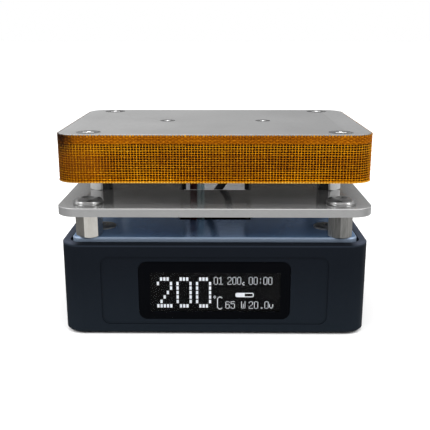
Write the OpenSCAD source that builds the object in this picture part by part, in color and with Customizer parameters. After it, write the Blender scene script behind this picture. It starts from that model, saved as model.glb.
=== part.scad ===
// Small electric heating platform for soldering work.
// A display case carries a heat shield and, above it, a heated plate, on hexagonal pillars.
// Front is -Y, up is +Z. The origin is under the centre of the footprint, on the table.

/* [Footprint] */
// Width of the case and of the heater
footprint_w = 72; // [66:1:84]
// Depth of the case and of the heater
footprint_d = 50; // [48:1:60]
// Radius of the vertical corners
corner_r = 4.8; // [4:0.2:6]
// Width of the broken edges on the case and plates
edge_break = 0.3; // [0.2:0.1:0.5]

/* [Case] */
// Height of the case from its floor to its rim
case_h = 22; // [21:0.5:26]
// Thickness of the case walls
case_wall = 1.8; // [1.6:0.2:2.2]
// Thickness of the case floor
floor_t = 2.2; // [1.8:0.2:3]
// Diameter of the rubber feet
foot_d = 8; // [6:0.5:9]
// Height that the feet stand out below the case
foot_proud = 0.5; // [0.3:0.1:1]
// Depth of the recess that each foot is glued into
foot_recess = 0.7; // [0.4:0.1:1]

/* [Cover] */
// Thickness of the cover plate
cover_t = 2; // [1.5:0.1:2.4]
// Height that the cover stands above the rim
cover_proud = 0.9; // [0.5:0.1:1.2]
// Gap between the cover and the case wall
cover_gap = 0.6; // [0.3:0.05:0.8]
// Head diameter of the cover screws
cover_head_d = 6; // [5:0.2:6.4]
// Head height of the cover screws
cover_head_h = 0.6; // [0.5:0.1:1.2]

/* [Cable windows] */
// Width of the cable windows in the cover and in the backing plate
slot_w = 19; // [18.4:0.2:20]
// Depth of the cable windows in the cover and in the backing plate, from front to back
slot_d = 13.6; // [12.8:0.2:15]
// Width of the cable window in the shield
shield_slot_w = 18.2; // [17.6:0.2:19]
// Depth of the cable window in the shield, from front to back
shield_slot_d = 10.4; // [9.6:0.2:12]
// How far the cable window in the shield lies in front of the middle
shield_slot_shift = 1; // [0.6:0.1:1.4]
// Corner radius of the cable windows
slot_r = 1.2; // [0.8:0.1:2]

/* [Pillars] */
// Distance from the side of the cover to the axis of a lower pillar
pillar_inset_x = 4; // [3.6:0.1:5.4]
// Distance from the front of the cover to the axis of a lower pillar
pillar_inset_y = 2.3; // [2.2:0.1:4]
// Width across the flats of the hexagonal pillars
hex_flats = 5.5; // [5:0.1:5.8]
// Length of the lower pillars, from the cover to the shield
lower_pillar_h = 5.7; // [5:0.1:8]
// Length of the upper pillars, from the shield to the heater
upper_pillar_h = 5.8; // [5.6:0.1:8]
// Distance from the side of the footprint to the axis of an upper pillar
upper_inset_x = 6.9; // [6.6:0.1:8]
// How far the upper pillars stand in front of the middle
upper_shift_y = 3.8; // [0:0.2:6]

/* [Shield] */
// Thickness of the heat shield
shield_t = 2; // [1.5:0.1:2.5]
// How far the shield reaches past the footprint on each side
shield_overhang = 0.5; // [0.5:0.1:1]
// Diameter of the flange heads on the shield
flange_head_d = 7; // [6.4:0.2:7.6]
// Height of the flange heads
flange_head_h = 1.5; // [1.2:0.1:2.4]

/* [Heater] */
// Height of the whole heater
heater_h = 11; // [10.6:0.2:14]
// Thickness of the woven wrap
wrap_t = 0.4; // [0.3:0.1:0.6]
// Distance from the top of the wrap up to the hot face
wrap_drop = 0.2; // [0.1:0.1:0.4]
// Thickness of the hot plate at its rim
plate_t = 2; // [1.8:0.1:2.6]
// Depth of the thicker core under the hot plate
core_t = 1.8; // [1.6:0.1:2.2]
// Thickness of a ceramic heating element
element_t = 1.2; // [1:0.1:1.6]
// Depth of a heating element from front to back
element_d = 13; // [10:0.5:14]
// Thickness of the clamp plate under the elements
clamp_t = 1; // [0.8:0.1:1.4]
// Thickness of the backing plate under the heater
backing_t = 1.5; // [1.4:0.1:2]
// Outside diameter of the corner spacers
spacer_d = 6; // [5:0.2:6.4]
// Distance from the side of the footprint to the axis of a corner screw
plate_screw_inset_x = 7.3; // [6.8:0.1:8]
// Distance from the front of the footprint to the axis of a corner screw
plate_screw_inset_y = 4.1; // [4.1:0.1:5]
// Distance between the two clamp screws
clamp_screw_pitch = 24.4; // [20:0.2:28]

/* [Screws] */
// Thread diameter of the main screws
thread_d = 3; // [2.5:0.1:3]
// Thread diameter of the clamp and board screws
small_thread_d = 2; // [1.6:0.1:2.2]
// Diameter of the countersunk heads on the hot plate
sunk_head_d = 5.6; // [5:0.1:6]
// Diameter of the countersunk heads of the clamp screws
small_sunk_head_d = 3.8; // [3.4:0.1:4.2]
// Gap round a screw in a plain hole
hole_gap = 0.2; // [0.1:0.05:0.3]
// Gap round a screw in its thread
thread_gap = 0.05; // [0.03:0.01:0.08]

/* [Display] */
// Width of the shallow panel on the front
panel_w = 53.4; // [48:0.2:56]
// Height of the shallow panel on the front
panel_h = 16.8; // [16:0.2:17.6]
// Depth of the shallow panel
panel_sink = 0.25; // [0.1:0.05:0.4]
// Corner radius of the panel and of the pane
panel_r = 2; // [1:0.2:3]
// Width of the display pane
lens_w = 35.8; // [34:0.2:40]
// Height of the display pane
lens_h = 14.4; // [13.6:0.2:15]
// Thickness of the display pane
lens_t = 1; // [0.8:0.1:1.2]
// Gap round the display pane
lens_gap = 0.1; // [0.05:0.05:0.2]
// Ledge that the pane is glued to
lens_ledge = 1.4; // [1:0.1:2]
// Height of the display axis above the case floor's underside
display_z = 10.5; // [10.2:0.1:11.5]
// Thickness of the display glass
oled_t = 1.5; // [1:0.1:2]
// Thickness of the board behind the display glass
oled_board_t = 1.2; // [0.8:0.1:1.6]

/* [Buttons] */
// Diameter of a button
button_d = 5; // [4:0.2:5.2]
// Distance between two buttons
button_pitch = 7; // [6.6:0.1:7]
// Height that a button stands out of the case
button_proud = 0.5; // [0.4:0.1:0.5]
// Travel of a button
button_travel = 0.35; // [0.2:0.05:0.4]
// Gap between a button and its hole
button_gap = 0.15; // [0.1:0.05:0.2]
// Width and height of a push switch
switch_size = 5.2; // [4.6:0.2:5.4]
// Diameter of a switch plunger
plunger_d = 2.4; // [2:0.1:2.8]
// Gap round a switch plunger
plunger_gap = 0.08; // [0.05:0.01:0.1]

/* [Circuit board] */
// Thickness of the main board
board_t = 1.6; // [1.2:0.1:2]
// Height of the main board above the case floor
board_lift = 3.8; // [3.4:0.1:4.2]
// Gap between the board and what it lies beside
board_gap = 0.35; // [0.2:0.05:0.6]
// Width of the power socket's shell
usb_w = 8.9; // [8.8:0.1:9.2]
// Height of the power socket's shell
usb_h = 3.2; // [3:0.1:3.4]
// Length of the power socket's shell
usb_l = 7.4; // [6.8:0.2:8.6]
// Gap round the power socket in the case wall
usb_gap = 0.35; // [0.2:0.05:0.5]

/* [Wires] */
// Diameter of the heater wires
wire_d = 1.9; // [1.4:0.1:2]
// Diameter of the sensor leads
lead_d = 0.9; // [0.6:0.1:1]

/* [Hidden] */
$fn = 48;
eps = 0.01;

// Levels, from the table up
case_z = foot_proud;
rim_z = case_z + case_h;
cover_top_z = rim_z + cover_proud;
cover_z = cover_top_z - cover_t;
shield_z = cover_top_z + lower_pillar_h;
shield_top_z = shield_z + shield_t;
heater_z = shield_top_z + upper_pillar_h;
backing_top_z = heater_z + backing_t;
top_z = heater_z + heater_h;
plate_z = top_z - plate_t;
core_z = plate_z - core_t;
element_z = core_z - element_t;
clamp_z = element_z - clamp_t;
floor_z = case_z + floor_t;
board_z = floor_z + board_lift;
board_top_z = board_z + board_t;
screen_z = case_z + display_z;

// Plan sizes
inner_w = footprint_w - 2 * case_wall;
inner_d = footprint_d - 2 * case_wall;
inner_r = corner_r - case_wall;
cover_w = inner_w - 2 * cover_gap;
cover_d = inner_d - 2 * cover_gap;
cover_r = inner_r - cover_gap;
shield_w = footprint_w + 2 * shield_overhang;
shield_d = footprint_d + 2 * shield_overhang;
plate_w = footprint_w - 2 * wrap_t;
plate_d = footprint_d - 2 * wrap_t;
plate_r = corner_r - wrap_t;
core_inset = 11;
core_w = footprint_w - 2 * core_inset;
core_margin = 3;
core_d = footprint_d - 2 * core_margin;
element_margin = 2;

// Axes of pillars and screws, in the corner where X and Y are positive
pillar_x = cover_w / 2 - pillar_inset_x;
pillar_y = cover_d / 2 - pillar_inset_y;
upper_x = footprint_w / 2 - upper_inset_x;
plate_screw_x = footprint_w / 2 - plate_screw_inset_x;
plate_screw_y = footprint_d / 2 - plate_screw_inset_y;
cover_screw_shift = [2.2, 7.3];
boss_r = 2.5;
flange_lip = 0.8;
flange_gap = 0.2;
button_row_y = button_pitch + max(switch_size, button_d + 2 * flange_lip) / 2;
cover_screw_y = max(pillar_y - cover_screw_shift.y, button_row_y + flange_gap + boss_r);
cover_screw_x = pillar_x - sqrt(norm(cover_screw_shift) ^ 2 - (pillar_y - cover_screw_y) ^ 2);
foot_inset = 8;
foot_x = footprint_w / 2 - foot_inset;
foot_y = footprint_d / 2 - foot_inset;

// Screw bodies
screw_r = thread_d / 2;
small_screw_r = small_thread_d / 2;
hex_r = hex_flats / 2 / cos(30);
stud_l = 5;
cover_screw_l = 6;
shield_screw_l = 4.6;
standoff_screw_l = 4.4;
backing_screw_l = 3.8;
pan_head_d = 5.6;
pan_head_h = 1.9;
small_head_d = 3.8;
small_head_h = 1.3;
sunk_rim = 0.15;
pillar_bore_l = 4.6;
pillar_turns = [18, 22, 14, 50];
upper_turns = [35, 30];

// Case posts
post_r = 3.3;
tapped_l = 8;

// Display stack behind the front face
front_y = -footprint_d / 2;
panel_y = front_y + panel_sink;
lens_seat_y = panel_y + lens_t;
inner_front_y = -inner_d / 2;
oled_y = inner_front_y + lens_gap;
oled_w = lens_w - 2.4;
oled_h = lens_h - 1.4;
oled_board_y = oled_y + oled_t;
oled_board_w = oled_w + 2.6;
oled_board_h = oled_h + 3;
oled_back_y = oled_board_y + oled_board_t;
rail_t = 1.2;

// Main board outline
board_x = cover_screw_x - boss_r - board_gap;
board_front_y = oled_back_y + board_gap;
board_back_y = inner_d / 2 - board_gap;
tab_x = footprint_w / 2 - 5;
tab_half_y = cover_screw_y - boss_r - board_gap;
board_post_x = board_x - 3.6;
board_post_front_y = board_front_y + 6;
board_post_back_y = board_back_y - 5;
board_post_r = 2.6;
header_size = [10.2, 2.5, 2.5];

// Power socket
usb_y = footprint_d / 2 - usb_l - 0.6;
usb_z = board_top_z + usb_h / 2;
usb_wall = 0.3;
plug_relief = [12.4, 7, 0.8];

// Push buttons
button_z = board_top_z + switch_size / 2;
wall_x = inner_w / 2;
flange_t = 0.8;
cap_back_x = wall_x - flange_gap - flange_t;
plunger_out = 1.9;
switch_face_x = cap_back_x - plunger_out;
switch_depth = 3.4;
plunger_in = 1;

// Heater wiring. The points are places that the wires pass, chosen by eye. The third number of a
// point is its share of the way up from the lower connector to the heater, and the leads' second
// number is their share of the way back from the connector's row to the sensor's.
red_route = [[-5.8, 0, 0], [-5.8, 0, 0.15], [-5.8, 0, 0.3], [-5.8, 0, 0.48], [-5.7, 0, 0.64],
    [-5.7, 0, 0.81], [-5.7, -0.5, 1]];
black_route = [[-1.9, 0, 0], [-2, -0.2, 0.15], [-1.9, -0.8, 0.29], [-1.4, -1.4, 0.44], [-0.3, -1.8, 0.56],
    [0.7, -2, 0.65], [1.8, -2, 0.71], [3.1, -1.8, 0.8], [3.7, -1.4, 0.91], [3.7, -1, 1]];
lead_route = [[0, 0, 0], [0, 0.3, 0.15], [0, 0.7, 0.32], [0, 1, 0.48], [0, 1, 0.68], [0, 1, 0.85],
    [0, 1, 1]];
lead_x = [-4.4, -3.4];
plug_x = (red_route[0].x + black_route[0].x) / 2;
socket_size = [10.4, 7, 5.2];
socket_wall = 0.9;
plug_size = [8.4, 5, 5.4];
plug_gap = 0.1;
plug_seat = 1;
connector_size = [5.4, 4.4, 4.4];
connector_shift = 0.3;
connector_gap = 0.4;
connector_y = socket_size.y / 2 + connector_gap + connector_size.y / 2;
terminal_size = [15, 7, 3.2];
terminal_gap = 2;
sensor_d = 1.6;
sensor_l = 4;
sensor_gap = 1.8;
window_gap = 1.4;
sensor_y = shield_slot_d / 2 - shield_slot_shift - window_gap;
terminal_y = sensor_y - terminal_gap - terminal_size.y / 2;
wire_end_gap = 0.1;
plug_top_z = board_top_z + plug_seat + plug_size.z;
connector_top_z = board_top_z + connector_size.z;
wire_end_z = clamp_z - terminal_size.z - wire_end_gap;
lead_end_z = core_z - sensor_d - wire_end_gap;

// Parts on the main board
controller_size = [6.6, 6.6, 1.3];
driver_size = [4, 3.8, 1];
chip_gap = 1.4;
transistor_size = [6.4, 5.4, 1.6];
transistor_tab = [1, 4.2, 0.5];
transistor_pitch = 8;
inductor_size = [7, 7, 3.4];
inductor_r = 1.6;
can_d = 6.2;
can_h = 5.6;
can_base_h = 0.9;
tongue_size = [6.6, 0.7];
core_r = 2;

// Plan outline with round corners
module rounded_rect(w, d, r) {
    square([w - 2 * r, d], center = true);
    square([w, d - 2 * r], center = true);
    for (sx = [-1, 1], sy = [-1, 1])
        translate([sx * (w / 2 - r), sy * (d / 2 - r)])
            circle(r);
}

module rounded_block(w, d, h, r) {
    linear_extrude(h)
        rounded_rect(w, d, r);
}

// Wedge to cut off an upright block's top edge; its sharp inner line lies c below and c inside
module edge_wedge(c) {
    polygon([[-c - eps, eps], [eps, eps], [eps, -c - eps]]);
}

module edge_cut(w, d, r, c) {
    for (side = [0:3]) {
        span = side % 2 == 0 ? [w, d] : [d, w];
        rotate(side * 90) {
            translate([span.x / 2, span.y / 2 - r, 0])
                rotate([90, 0, 0])
                    linear_extrude(span.y - 2 * r)
                        edge_wedge(c);
            translate([span.x / 2 - r, span.y / 2 - r, 0])
                rotate_extrude(angle = 90)
                    translate([r, 0])
                        edge_wedge(c);
        }
    }
}

// Copies at the four places that mirror one place in both directions
module at_corners(x, y) {
    for (sx = [-1, 1], sy = [-1, 1])
        translate([sx * x, sy * y, 0])
            children();
}

module at_sides(x, y = 0) {
    for (sx = [-1, 1])
        translate([sx * x, y, 0])
            children();
}

// Cross recess cut down from z = 0
module cross_recess(size, depth) {
    arm = size * 0.26;
    intersection() {
        union() {
            translate([-size / 2, -arm / 2, -depth])
                cube([size, arm, depth + 1]);
            translate([-arm / 2, -size / 2, -depth])
                cube([arm, size, depth + 1]);
        }
        translate([0, 0, -depth])
            cylinder(h = depth + 1, r1 = size * 0.22, r2 = size * 0.62);
    }
}

// Dome of a pan head, standing on z = 0
module domed_head(d, h, skirt) {
    crown = h - skirt;
    steps = 6;
    dome = [for (i = [0:steps]) [d / 2 * cos(90 * i / steps) ^ 0.7, skirt + crown * sin(90 * i / steps)]];
    rotate_extrude()
        polygon(concat([[0, 0], [d / 2, 0]], [for (p = dome) [max(p.x, 0), p.y]]));
}

module pan_screw(d, h, r, l, skirt = 0.5) {
    difference() {
        union() {
            domed_head(d, h, skirt);
            translate([0, 0, -l])
                cylinder(h = l + skirt / 2, r = r);
        }
        translate([0, 0, h])
            cross_recess(r * 2, h * 0.7);
    }
}

// Countersunk screw whose flat top lies on z = 0
module sunk_screw(d, r, l) {
    cone = d / 2 - r;
    difference() {
        union() {
            translate([0, 0, -sunk_rim])
                cylinder(h = sunk_rim, r = d / 2);
            translate([0, 0, -sunk_rim - cone])
                cylinder(h = cone, r1 = r, r2 = d / 2);
            translate([0, 0, -l])
                cylinder(h = l - sunk_rim - cone / 2, r = r);
        }
        cross_recess(r * 1.9, cone);
    }
}

// Space for a countersunk screw, with its gap all round
module sunk_hole(d, r, l, gap) {
    cone = d / 2 - r;
    translate([0, 0, -sunk_rim - gap / 2])
        cylinder(h = sunk_rim + 1, r = d / 2 + gap / 2);
    translate([0, 0, -sunk_rim - cone - gap / 2])
        cylinder(h = cone, r1 = r + gap / 2, r2 = d / 2 + gap / 2);
    translate([0, 0, -l])
        cylinder(h = l, r = r + gap);
}

// Places of a wire, with the share of the height of each turned into its level
function route_points(route, z0, z1) = [for (p = route) [p.x, p.y, z0 + p.z * (z1 - z0)]];

// Round tube with flat ends, swept along hand-chosen points
function unit(v) = v / norm(v);
function smooth_point(p, i, t) =
    let (a = p[max(i - 1, 0)], b = p[i], c = p[i + 1], e = p[min(i + 2, len(p) - 1)])
    0.5 * (2 * b + (c - a) * t + (2 * a - 5 * b + 4 * c - e) * t ^ 2 + (3 * b - a - 3 * c + e) * t ^ 3);
function smooth_path(p, cuts) =
    concat([for (i = [0:len(p) - 2], k = [0:cuts - 1]) smooth_point(p, i, k / cuts)], [p[len(p) - 1]]);
function heading(p, i) =
    i == 0 || i == len(p) - 1 ? [0, 0, 1] : unit(p[i + 1] - p[i - 1]);
function ring_point(centre, along, r, a) =
    let (side = unit(cross([0, 1, 0], along)), rise = cross(along, side))
    centre + r * (cos(a) * side + sin(a) * rise);

module wire_tube(route, d, cuts) {
    sides = 8;
    path = smooth_path(route, cuts);
    rings = len(path);
    points = [for (i = [0:rings - 1], k = [0:sides - 1])
        ring_point(path[i], heading(path, i), d / 2, -360 * k / sides)];
    walls = [for (i = [0:rings - 2], k = [0:sides - 1])
        let (n = (k + 1) % sides)
        [i * sides + k, i * sides + n, (i + 1) * sides + n, (i + 1) * sides + k]];
    ends = [[for (k = [sides - 1:-1:0]) k], [for (k = [0:sides - 1]) (rings - 1) * sides + k]];
    polyhedron(points, concat(walls, ends), convexity = 4);
}

// Case

module corner_post_plan() {
    reach_x = inner_w / 2 - pillar_x;
    reach_y = inner_d / 2 - pillar_y;
    circle(post_r);
    translate([0, -post_r])
        square([reach_x, post_r + reach_y]);
    translate([-post_r, 0])
        square([post_r + reach_x, reach_y]);
}

module cover_boss_plan() {
    circle(boss_r);
    translate([0, -boss_r])
        square([inner_w / 2 - cover_screw_x, 2 * boss_r]);
}

module posts_plan() {
    intersection() {
        rounded_rect(inner_w + eps, inner_d + eps, inner_r);
        for (mx = [0, 1], my = [0, 1])
            mirror([mx, 0])
                mirror([0, my]) {
                    translate([pillar_x, pillar_y])
                        corner_post_plan();
                    translate([cover_screw_x, cover_screw_y])
                        cover_boss_plan();
                }
    }
}

module board_post_places() {
    for (sx = [-1, 1], y = [board_post_front_y, board_post_back_y])
        translate([sx * board_post_x, y, 0])
            children();
}

// A round-cornered opening through a front or back wall, cut from y0 to y1
module wall_opening(w, h, r, y0, y1, z) {
    translate([0, y1, z])
        rotate([90, 0, 0])
            linear_extrude(y1 - y0)
                rounded_rect(w, h, r);
}

module display_openings() {
    wall_opening(panel_w, panel_h, panel_r, front_y - 1, panel_y, screen_z);
    wall_opening(lens_w, lens_h, panel_r, front_y - 1, lens_seat_y, screen_z);
    wall_opening(lens_w - 2 * lens_ledge, lens_h - 2 * lens_ledge, panel_r / 2, front_y - 1,
        inner_front_y + 1, screen_z);
}

module port_openings() {
    back_y = footprint_d / 2;
    port_h = usb_h + 2 * usb_gap;
    wall_opening(usb_w + 2 * usb_gap, port_h, port_h / 2 - eps, back_y - case_wall - 1, back_y + 1, usb_z);
    wall_opening(plug_relief.x, plug_relief.y, plug_relief.y / 2 - eps, back_y - plug_relief.z,
        back_y + 1, usb_z);
}

module button_places() {
    for (i = [-1:1])
        translate([0, i * button_pitch, button_z])
            children();
}

module button_openings() {
    button_places()
        translate([wall_x - 1, 0, 0])
            rotate([0, 90, 0])
                cylinder(h = case_wall + 2, d = button_d + 2 * button_gap);
}

module display_rails() {
    for (sx = [-1, 1])
        translate([sx * (oled_board_w / 2 + lens_gap + rail_t / 2), 0, floor_z - eps])
            translate([-rail_t / 2, inner_front_y - eps, 0])
                cube([rail_t, oled_back_y - inner_front_y, screen_z + oled_board_h / 2 - floor_z]);
}

module case_shell() {
    color([0.10, 0.12, 0.15])
        difference() {
            union() {
                difference() {
                    translate([0, 0, case_z])
                        rounded_block(footprint_w, footprint_d, case_h, corner_r);
                    translate([0, 0, floor_z])
                        rounded_block(inner_w, inner_d, case_h, inner_r);
                    translate([0, 0, rim_z])
                        edge_cut(footprint_w, footprint_d, corner_r, edge_break);
                    translate([0, 0, case_z])
                        mirror([0, 0, 1])
                            edge_cut(footprint_w, footprint_d, corner_r, edge_break);
                }
                translate([0, 0, floor_z - eps])
                    linear_extrude(cover_z - floor_z + eps)
                        posts_plan();
                translate([0, 0, floor_z - eps])
                    board_post_places()
                        cylinder(h = board_lift + eps, r = board_post_r);
                display_rails();
            }
            translate([0, 0, cover_z - tapped_l])
                at_corners(pillar_x, pillar_y)
                    cylinder(h = tapped_l + 1, r = screw_r + thread_gap);
            translate([0, 0, cover_z - tapped_l])
                at_corners(cover_screw_x, cover_screw_y)
                    cylinder(h = tapped_l + 1, r = screw_r + thread_gap);
            translate([0, 0, floor_z])
                board_post_places()
                    cylinder(h = board_lift + 1, r = small_screw_r + thread_gap);
            translate([0, 0, case_z - 1])
                at_corners(foot_x, foot_y)
                    cylinder(h = 1 + foot_recess, d = foot_d + 2 * lens_gap);
            display_openings();
            port_openings();
            button_openings();
        }
}

module rubber_feet() {
    color([0.06, 0.06, 0.06])
        at_corners(foot_x, foot_y)
            difference() {
                cylinder(h = foot_proud + foot_recess, d = foot_d);
                mirror([0, 0, 1])
                    rotate_extrude()
                        translate([foot_d / 2, 0])
                            edge_wedge(foot_proud / 2);
            }
}

// Display

module display_lens() {
    color([0.04, 0.05, 0.07, 0.9])
        wall_opening(lens_w - 2 * lens_gap, lens_h - 2 * lens_gap, panel_r - lens_gap, panel_y,
            lens_seat_y, screen_z);
}

module oled_panel() {
    color([0.02, 0.02, 0.02])
        translate([-oled_w / 2, oled_y, screen_z - oled_h / 2])
            cube([oled_w, oled_t, oled_h]);
}

module oled_board() {
    color([0.05, 0.2, 0.12])
        translate([-oled_board_w / 2, oled_board_y, screen_z - oled_board_h / 2])
            cube([oled_board_w, oled_board_t, oled_board_h]);
}

module display_header() {
    pins = 4;
    pin_pitch = 2.54;
    color([0.08, 0.08, 0.08])
        translate([-header_size.x / 2, oled_back_y, board_top_z])
            cube(header_size);
    color([0.8, 0.7, 0.3])
        for (i = [0:pins - 1])
            translate([(i - (pins - 1) / 2) * pin_pitch - 0.3, oled_back_y + header_size.y, board_top_z])
                cube([0.6, 1.4, 0.6]);
}

// Circuit board

module board_plan() {
    difference() {
        union() {
            translate([-board_x, board_front_y])
                square([2 * board_x, board_back_y - board_front_y]);
            translate([0, -tab_half_y])
                square([tab_x, 2 * tab_half_y]);
        }
        board_post_places()
            circle(small_screw_r + hole_gap);
    }
}

module main_board() {
    color([0.04, 0.25, 0.14])
        translate([0, 0, board_z])
            linear_extrude(board_t)
                board_plan();
}

module board_screws() {
    color([0.75, 0.75, 0.76])
        translate([0, 0, board_top_z])
            board_post_places()
                pan_screw(small_head_d, small_head_h, small_screw_r, board_t + board_lift - 1, 0.3);
}

module gull_wing_chip(w, d, h, pins) {
    lead_pitch = w * 0.8 / (pins - 1);
    color([0.07, 0.07, 0.08])
        translate([-w / 2, -d / 2, 0.1])
            cube([w, d, h - 0.1]);
    color([0.8, 0.8, 0.82])
        for (i = [0:pins - 1], sy = [0, 1])
            translate([(i - (pins - 1) / 2) * lead_pitch - 0.15, sy == 0 ? -d / 2 - 0.8 : d / 2, 0])
                cube([0.3, 0.8, 0.25]);
}

module controller_chips() {
    chip_x = board_post_x - small_head_d / 2 - chip_gap - controller_size.x / 2;
    translate([-chip_x, board_front_y / 2, board_top_z])
        gull_wing_chip(controller_size.x, controller_size.y, controller_size.z, 8);
    translate([-chip_x, socket_size.y / 2 + driver_size.y + chip_gap / 2, board_top_z])
        gull_wing_chip(driver_size.x, driver_size.y, driver_size.z, 4);
}

module power_transistors() {
    color([0.08, 0.08, 0.09])
        for (i = [0, 1])
            translate([board_x / 3 - 2, -socket_size.y / 2 - 1 - transistor_pitch * i, board_top_z]) {
                cube(transistor_size);
                translate([transistor_size.x, (transistor_size.y - transistor_tab.y) / 2, 0])
                    cube(transistor_tab);
            }
}

module inductor() {
    color([0.25, 0.25, 0.27])
        translate([board_x / 2, inductor_size.y, board_top_z])
            intersection() {
                rounded_block(inductor_size.x, inductor_size.y, inductor_size.z, inductor_r);
                translate([0, 0, -1])
                    cylinder(h = inductor_size.z + 2, d = inductor_size.x * 1.22);
            }
}

module capacitors() {
    for (sx = [-1, 1])
        translate([sx * (board_x / 2 - 0.6), board_back_y - 6, board_top_z]) {
            color([0.1, 0.1, 0.1])
                translate([-can_d / 2, -can_d / 2, 0])
                    cube([can_d, can_d, can_base_h]);
            color([0.8, 0.8, 0.82])
                translate([0, 0, can_base_h])
                    cylinder(h = can_h - can_base_h, d = can_d);
        }
}

// Power socket at the back

module pill_prism(w, h, y0, y1) {
    wall_opening(w, h, h / 2 - eps, y0, y1, usb_z);
}

module usb_c_shell() {
    color([0.8, 0.8, 0.82])
        difference() {
            pill_prism(usb_w, usb_h, usb_y, usb_y + usb_l);
            pill_prism(usb_w - 2 * usb_wall, usb_h - 2 * usb_wall, usb_y + 1, usb_y + usb_l + 1);
        }
}

module usb_c_tongue() {
    color([0.05, 0.05, 0.05])
        translate([-tongue_size.x / 2, usb_y + 1, usb_z - tongue_size.y / 2])
            cube([tongue_size.x, usb_l - 1.8, tongue_size.y]);
}

// Wire connectors

module heater_socket() {
    color([0.88, 0.86, 0.78])
        translate([plug_x, 0, board_top_z])
            difference() {
                translate([-socket_size.x / 2, -socket_size.y / 2, 0])
                    cube(socket_size);
                translate([-plug_size.x / 2 - plug_gap, -plug_size.y / 2 - plug_gap, plug_seat])
                    cube([plug_size.x + 2 * plug_gap, plug_size.y + 2 * plug_gap, socket_size.z]);
            }
}

module heater_plug() {
    color([0.9, 0.88, 0.8])
        translate([plug_x - plug_size.x / 2, -plug_size.y / 2, board_top_z + plug_seat])
            cube(plug_size);
}

module sensor_connector() {
    centre = [(lead_x[0] + lead_x[1]) / 2, connector_y];
    color([0.9, 0.88, 0.8])
        translate([centre.x - connector_size.x / 2, centre.y - connector_size.y / 2, board_top_z])
            cube(connector_size);
}

// Push buttons on the right side

module tact_switches() {
    color([0.12, 0.12, 0.13])
        button_places()
            difference() {
                union() {
                    translate([switch_face_x - switch_depth, -switch_size / 2, -switch_size / 2])
                        cube([switch_depth, switch_size, switch_size]);
                    translate([switch_face_x - eps, 0, 0])
                        rotate([0, 90, 0])
                            cylinder(h = 0.5, d = plunger_d + 1.2);
                }
                translate([switch_face_x - plunger_in - button_travel - plunger_gap, 0, 0])
                    rotate([0, 90, 0])
                        cylinder(h = 4, d = plunger_d + 2 * plunger_gap);
            }
}

module plunger() {
    color([0.7, 0.68, 0.62])
        translate([switch_face_x - plunger_in, 0, 0])
            rotate([0, 90, 0])
                cylinder(h = plunger_in + plunger_out, d = plunger_d);
}

module button_cap() {
    reach = footprint_w / 2 + button_proud;
    dish_r = 12;
    dish_sink = 0.2;
    color([0.13, 0.15, 0.18])
        difference() {
            union() {
                translate([cap_back_x, 0, 0])
                    rotate([0, 90, 0])
                        cylinder(h = flange_t, d = button_d + 2 * flange_lip);
                translate([cap_back_x, 0, 0])
                    rotate([0, 90, 0])
                        cylinder(h = reach - cap_back_x, d = button_d);
            }
            translate([reach + dish_r - dish_sink, 0, 0])
                sphere(r = dish_r, $fn = 64);
            translate([reach, 0, 0])
                rotate([0, 90, 0])
                    rotate_extrude()
                        translate([button_d / 2, 0])
                            edge_wedge(edge_break / 2);
        }
}

module button_place(i) {
    translate([0, i * button_pitch, button_z])
        children();
}

// Cover, pillars and shield

module top_cover() {
    color([0.24, 0.29, 0.36])
        difference() {
            translate([0, 0, cover_z])
                rounded_block(cover_w, cover_d, cover_t, cover_r);
            translate([0, 0, cover_z - 1])
                rounded_block(slot_w, slot_d, cover_t + 2, slot_r);
            translate([0, 0, cover_z - 1])
                at_corners(pillar_x, pillar_y)
                    cylinder(h = cover_t + 2, r = screw_r + hole_gap);
            translate([0, 0, cover_z - 1])
                at_corners(cover_screw_x, cover_screw_y)
                    cylinder(h = cover_t + 2, r = screw_r + hole_gap);
            translate([0, 0, cover_top_z])
                edge_cut(cover_w, cover_d, cover_r, edge_break);
        }
}

module cover_screws() {
    color([0.45, 0.45, 0.46])
        translate([0, 0, cover_top_z])
            at_corners(cover_screw_x, cover_screw_y)
                pan_screw(cover_head_d, cover_head_h, screw_r, cover_screw_l, cover_head_h - 0.3);
}

// A hexagonal pillar with turned ends, standing on z = 0, and its bore from b0 to b1
module hex_pillar(h, b0, b1) {
    end_r = hex_flats / 2;
    slope = (hex_r - end_r) * 0.6;
    difference() {
        intersection() {
            cylinder(h = h, r = hex_r, $fn = 6);
            rotate_extrude()
                polygon([[0, 0], [end_r, 0], [hex_r, slope], [hex_r, h - slope], [end_r, h], [0, h]]);
        }
        translate([0, 0, b0])
            cylinder(h = b1 - b0, r = screw_r + thread_gap);
    }
}

module lower_standoffs() {
    color([0.72, 0.71, 0.69])
        translate([0, 0, cover_top_z])
            for (i = [0:3])
                translate([(i % 2 == 0 ? -1 : 1) * pillar_x, (i < 2 ? -1 : 1) * pillar_y, 0])
                    rotate(pillar_turns[i]) {
                        hex_pillar(lower_pillar_h, lower_pillar_h - pillar_bore_l, lower_pillar_h + 1);
                        translate([0, 0, -stud_l])
                            cylinder(h = stud_l + eps, r = screw_r);
                    }
}

module shield_plate() {
    color([0.70, 0.70, 0.71])
        difference() {
            translate([0, 0, shield_z])
                rounded_block(shield_w, shield_d, shield_t, corner_r);
            translate([0, -shield_slot_shift, shield_z - 1])
                rounded_block(shield_slot_w, shield_slot_d, shield_t + 2, slot_r);
            translate([0, 0, shield_z - 1])
                at_corners(pillar_x, pillar_y)
                    cylinder(h = shield_t + 2, r = screw_r + hole_gap);
            translate([0, 0, shield_z - 1])
                at_sides(upper_x, -upper_shift_y)
                    cylinder(h = shield_t + 2, r = screw_r + hole_gap);
            translate([0, 0, shield_top_z])
                edge_cut(shield_w, shield_d, corner_r, edge_break / 2);
        }
}

module shield_screws() {
    color([0.82, 0.82, 0.83])
        translate([0, 0, shield_top_z])
            at_corners(pillar_x, pillar_y)
                pan_screw(flange_head_d, flange_head_h, screw_r, shield_screw_l, 0.6 * flange_head_h);
}

// Heater supports

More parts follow.
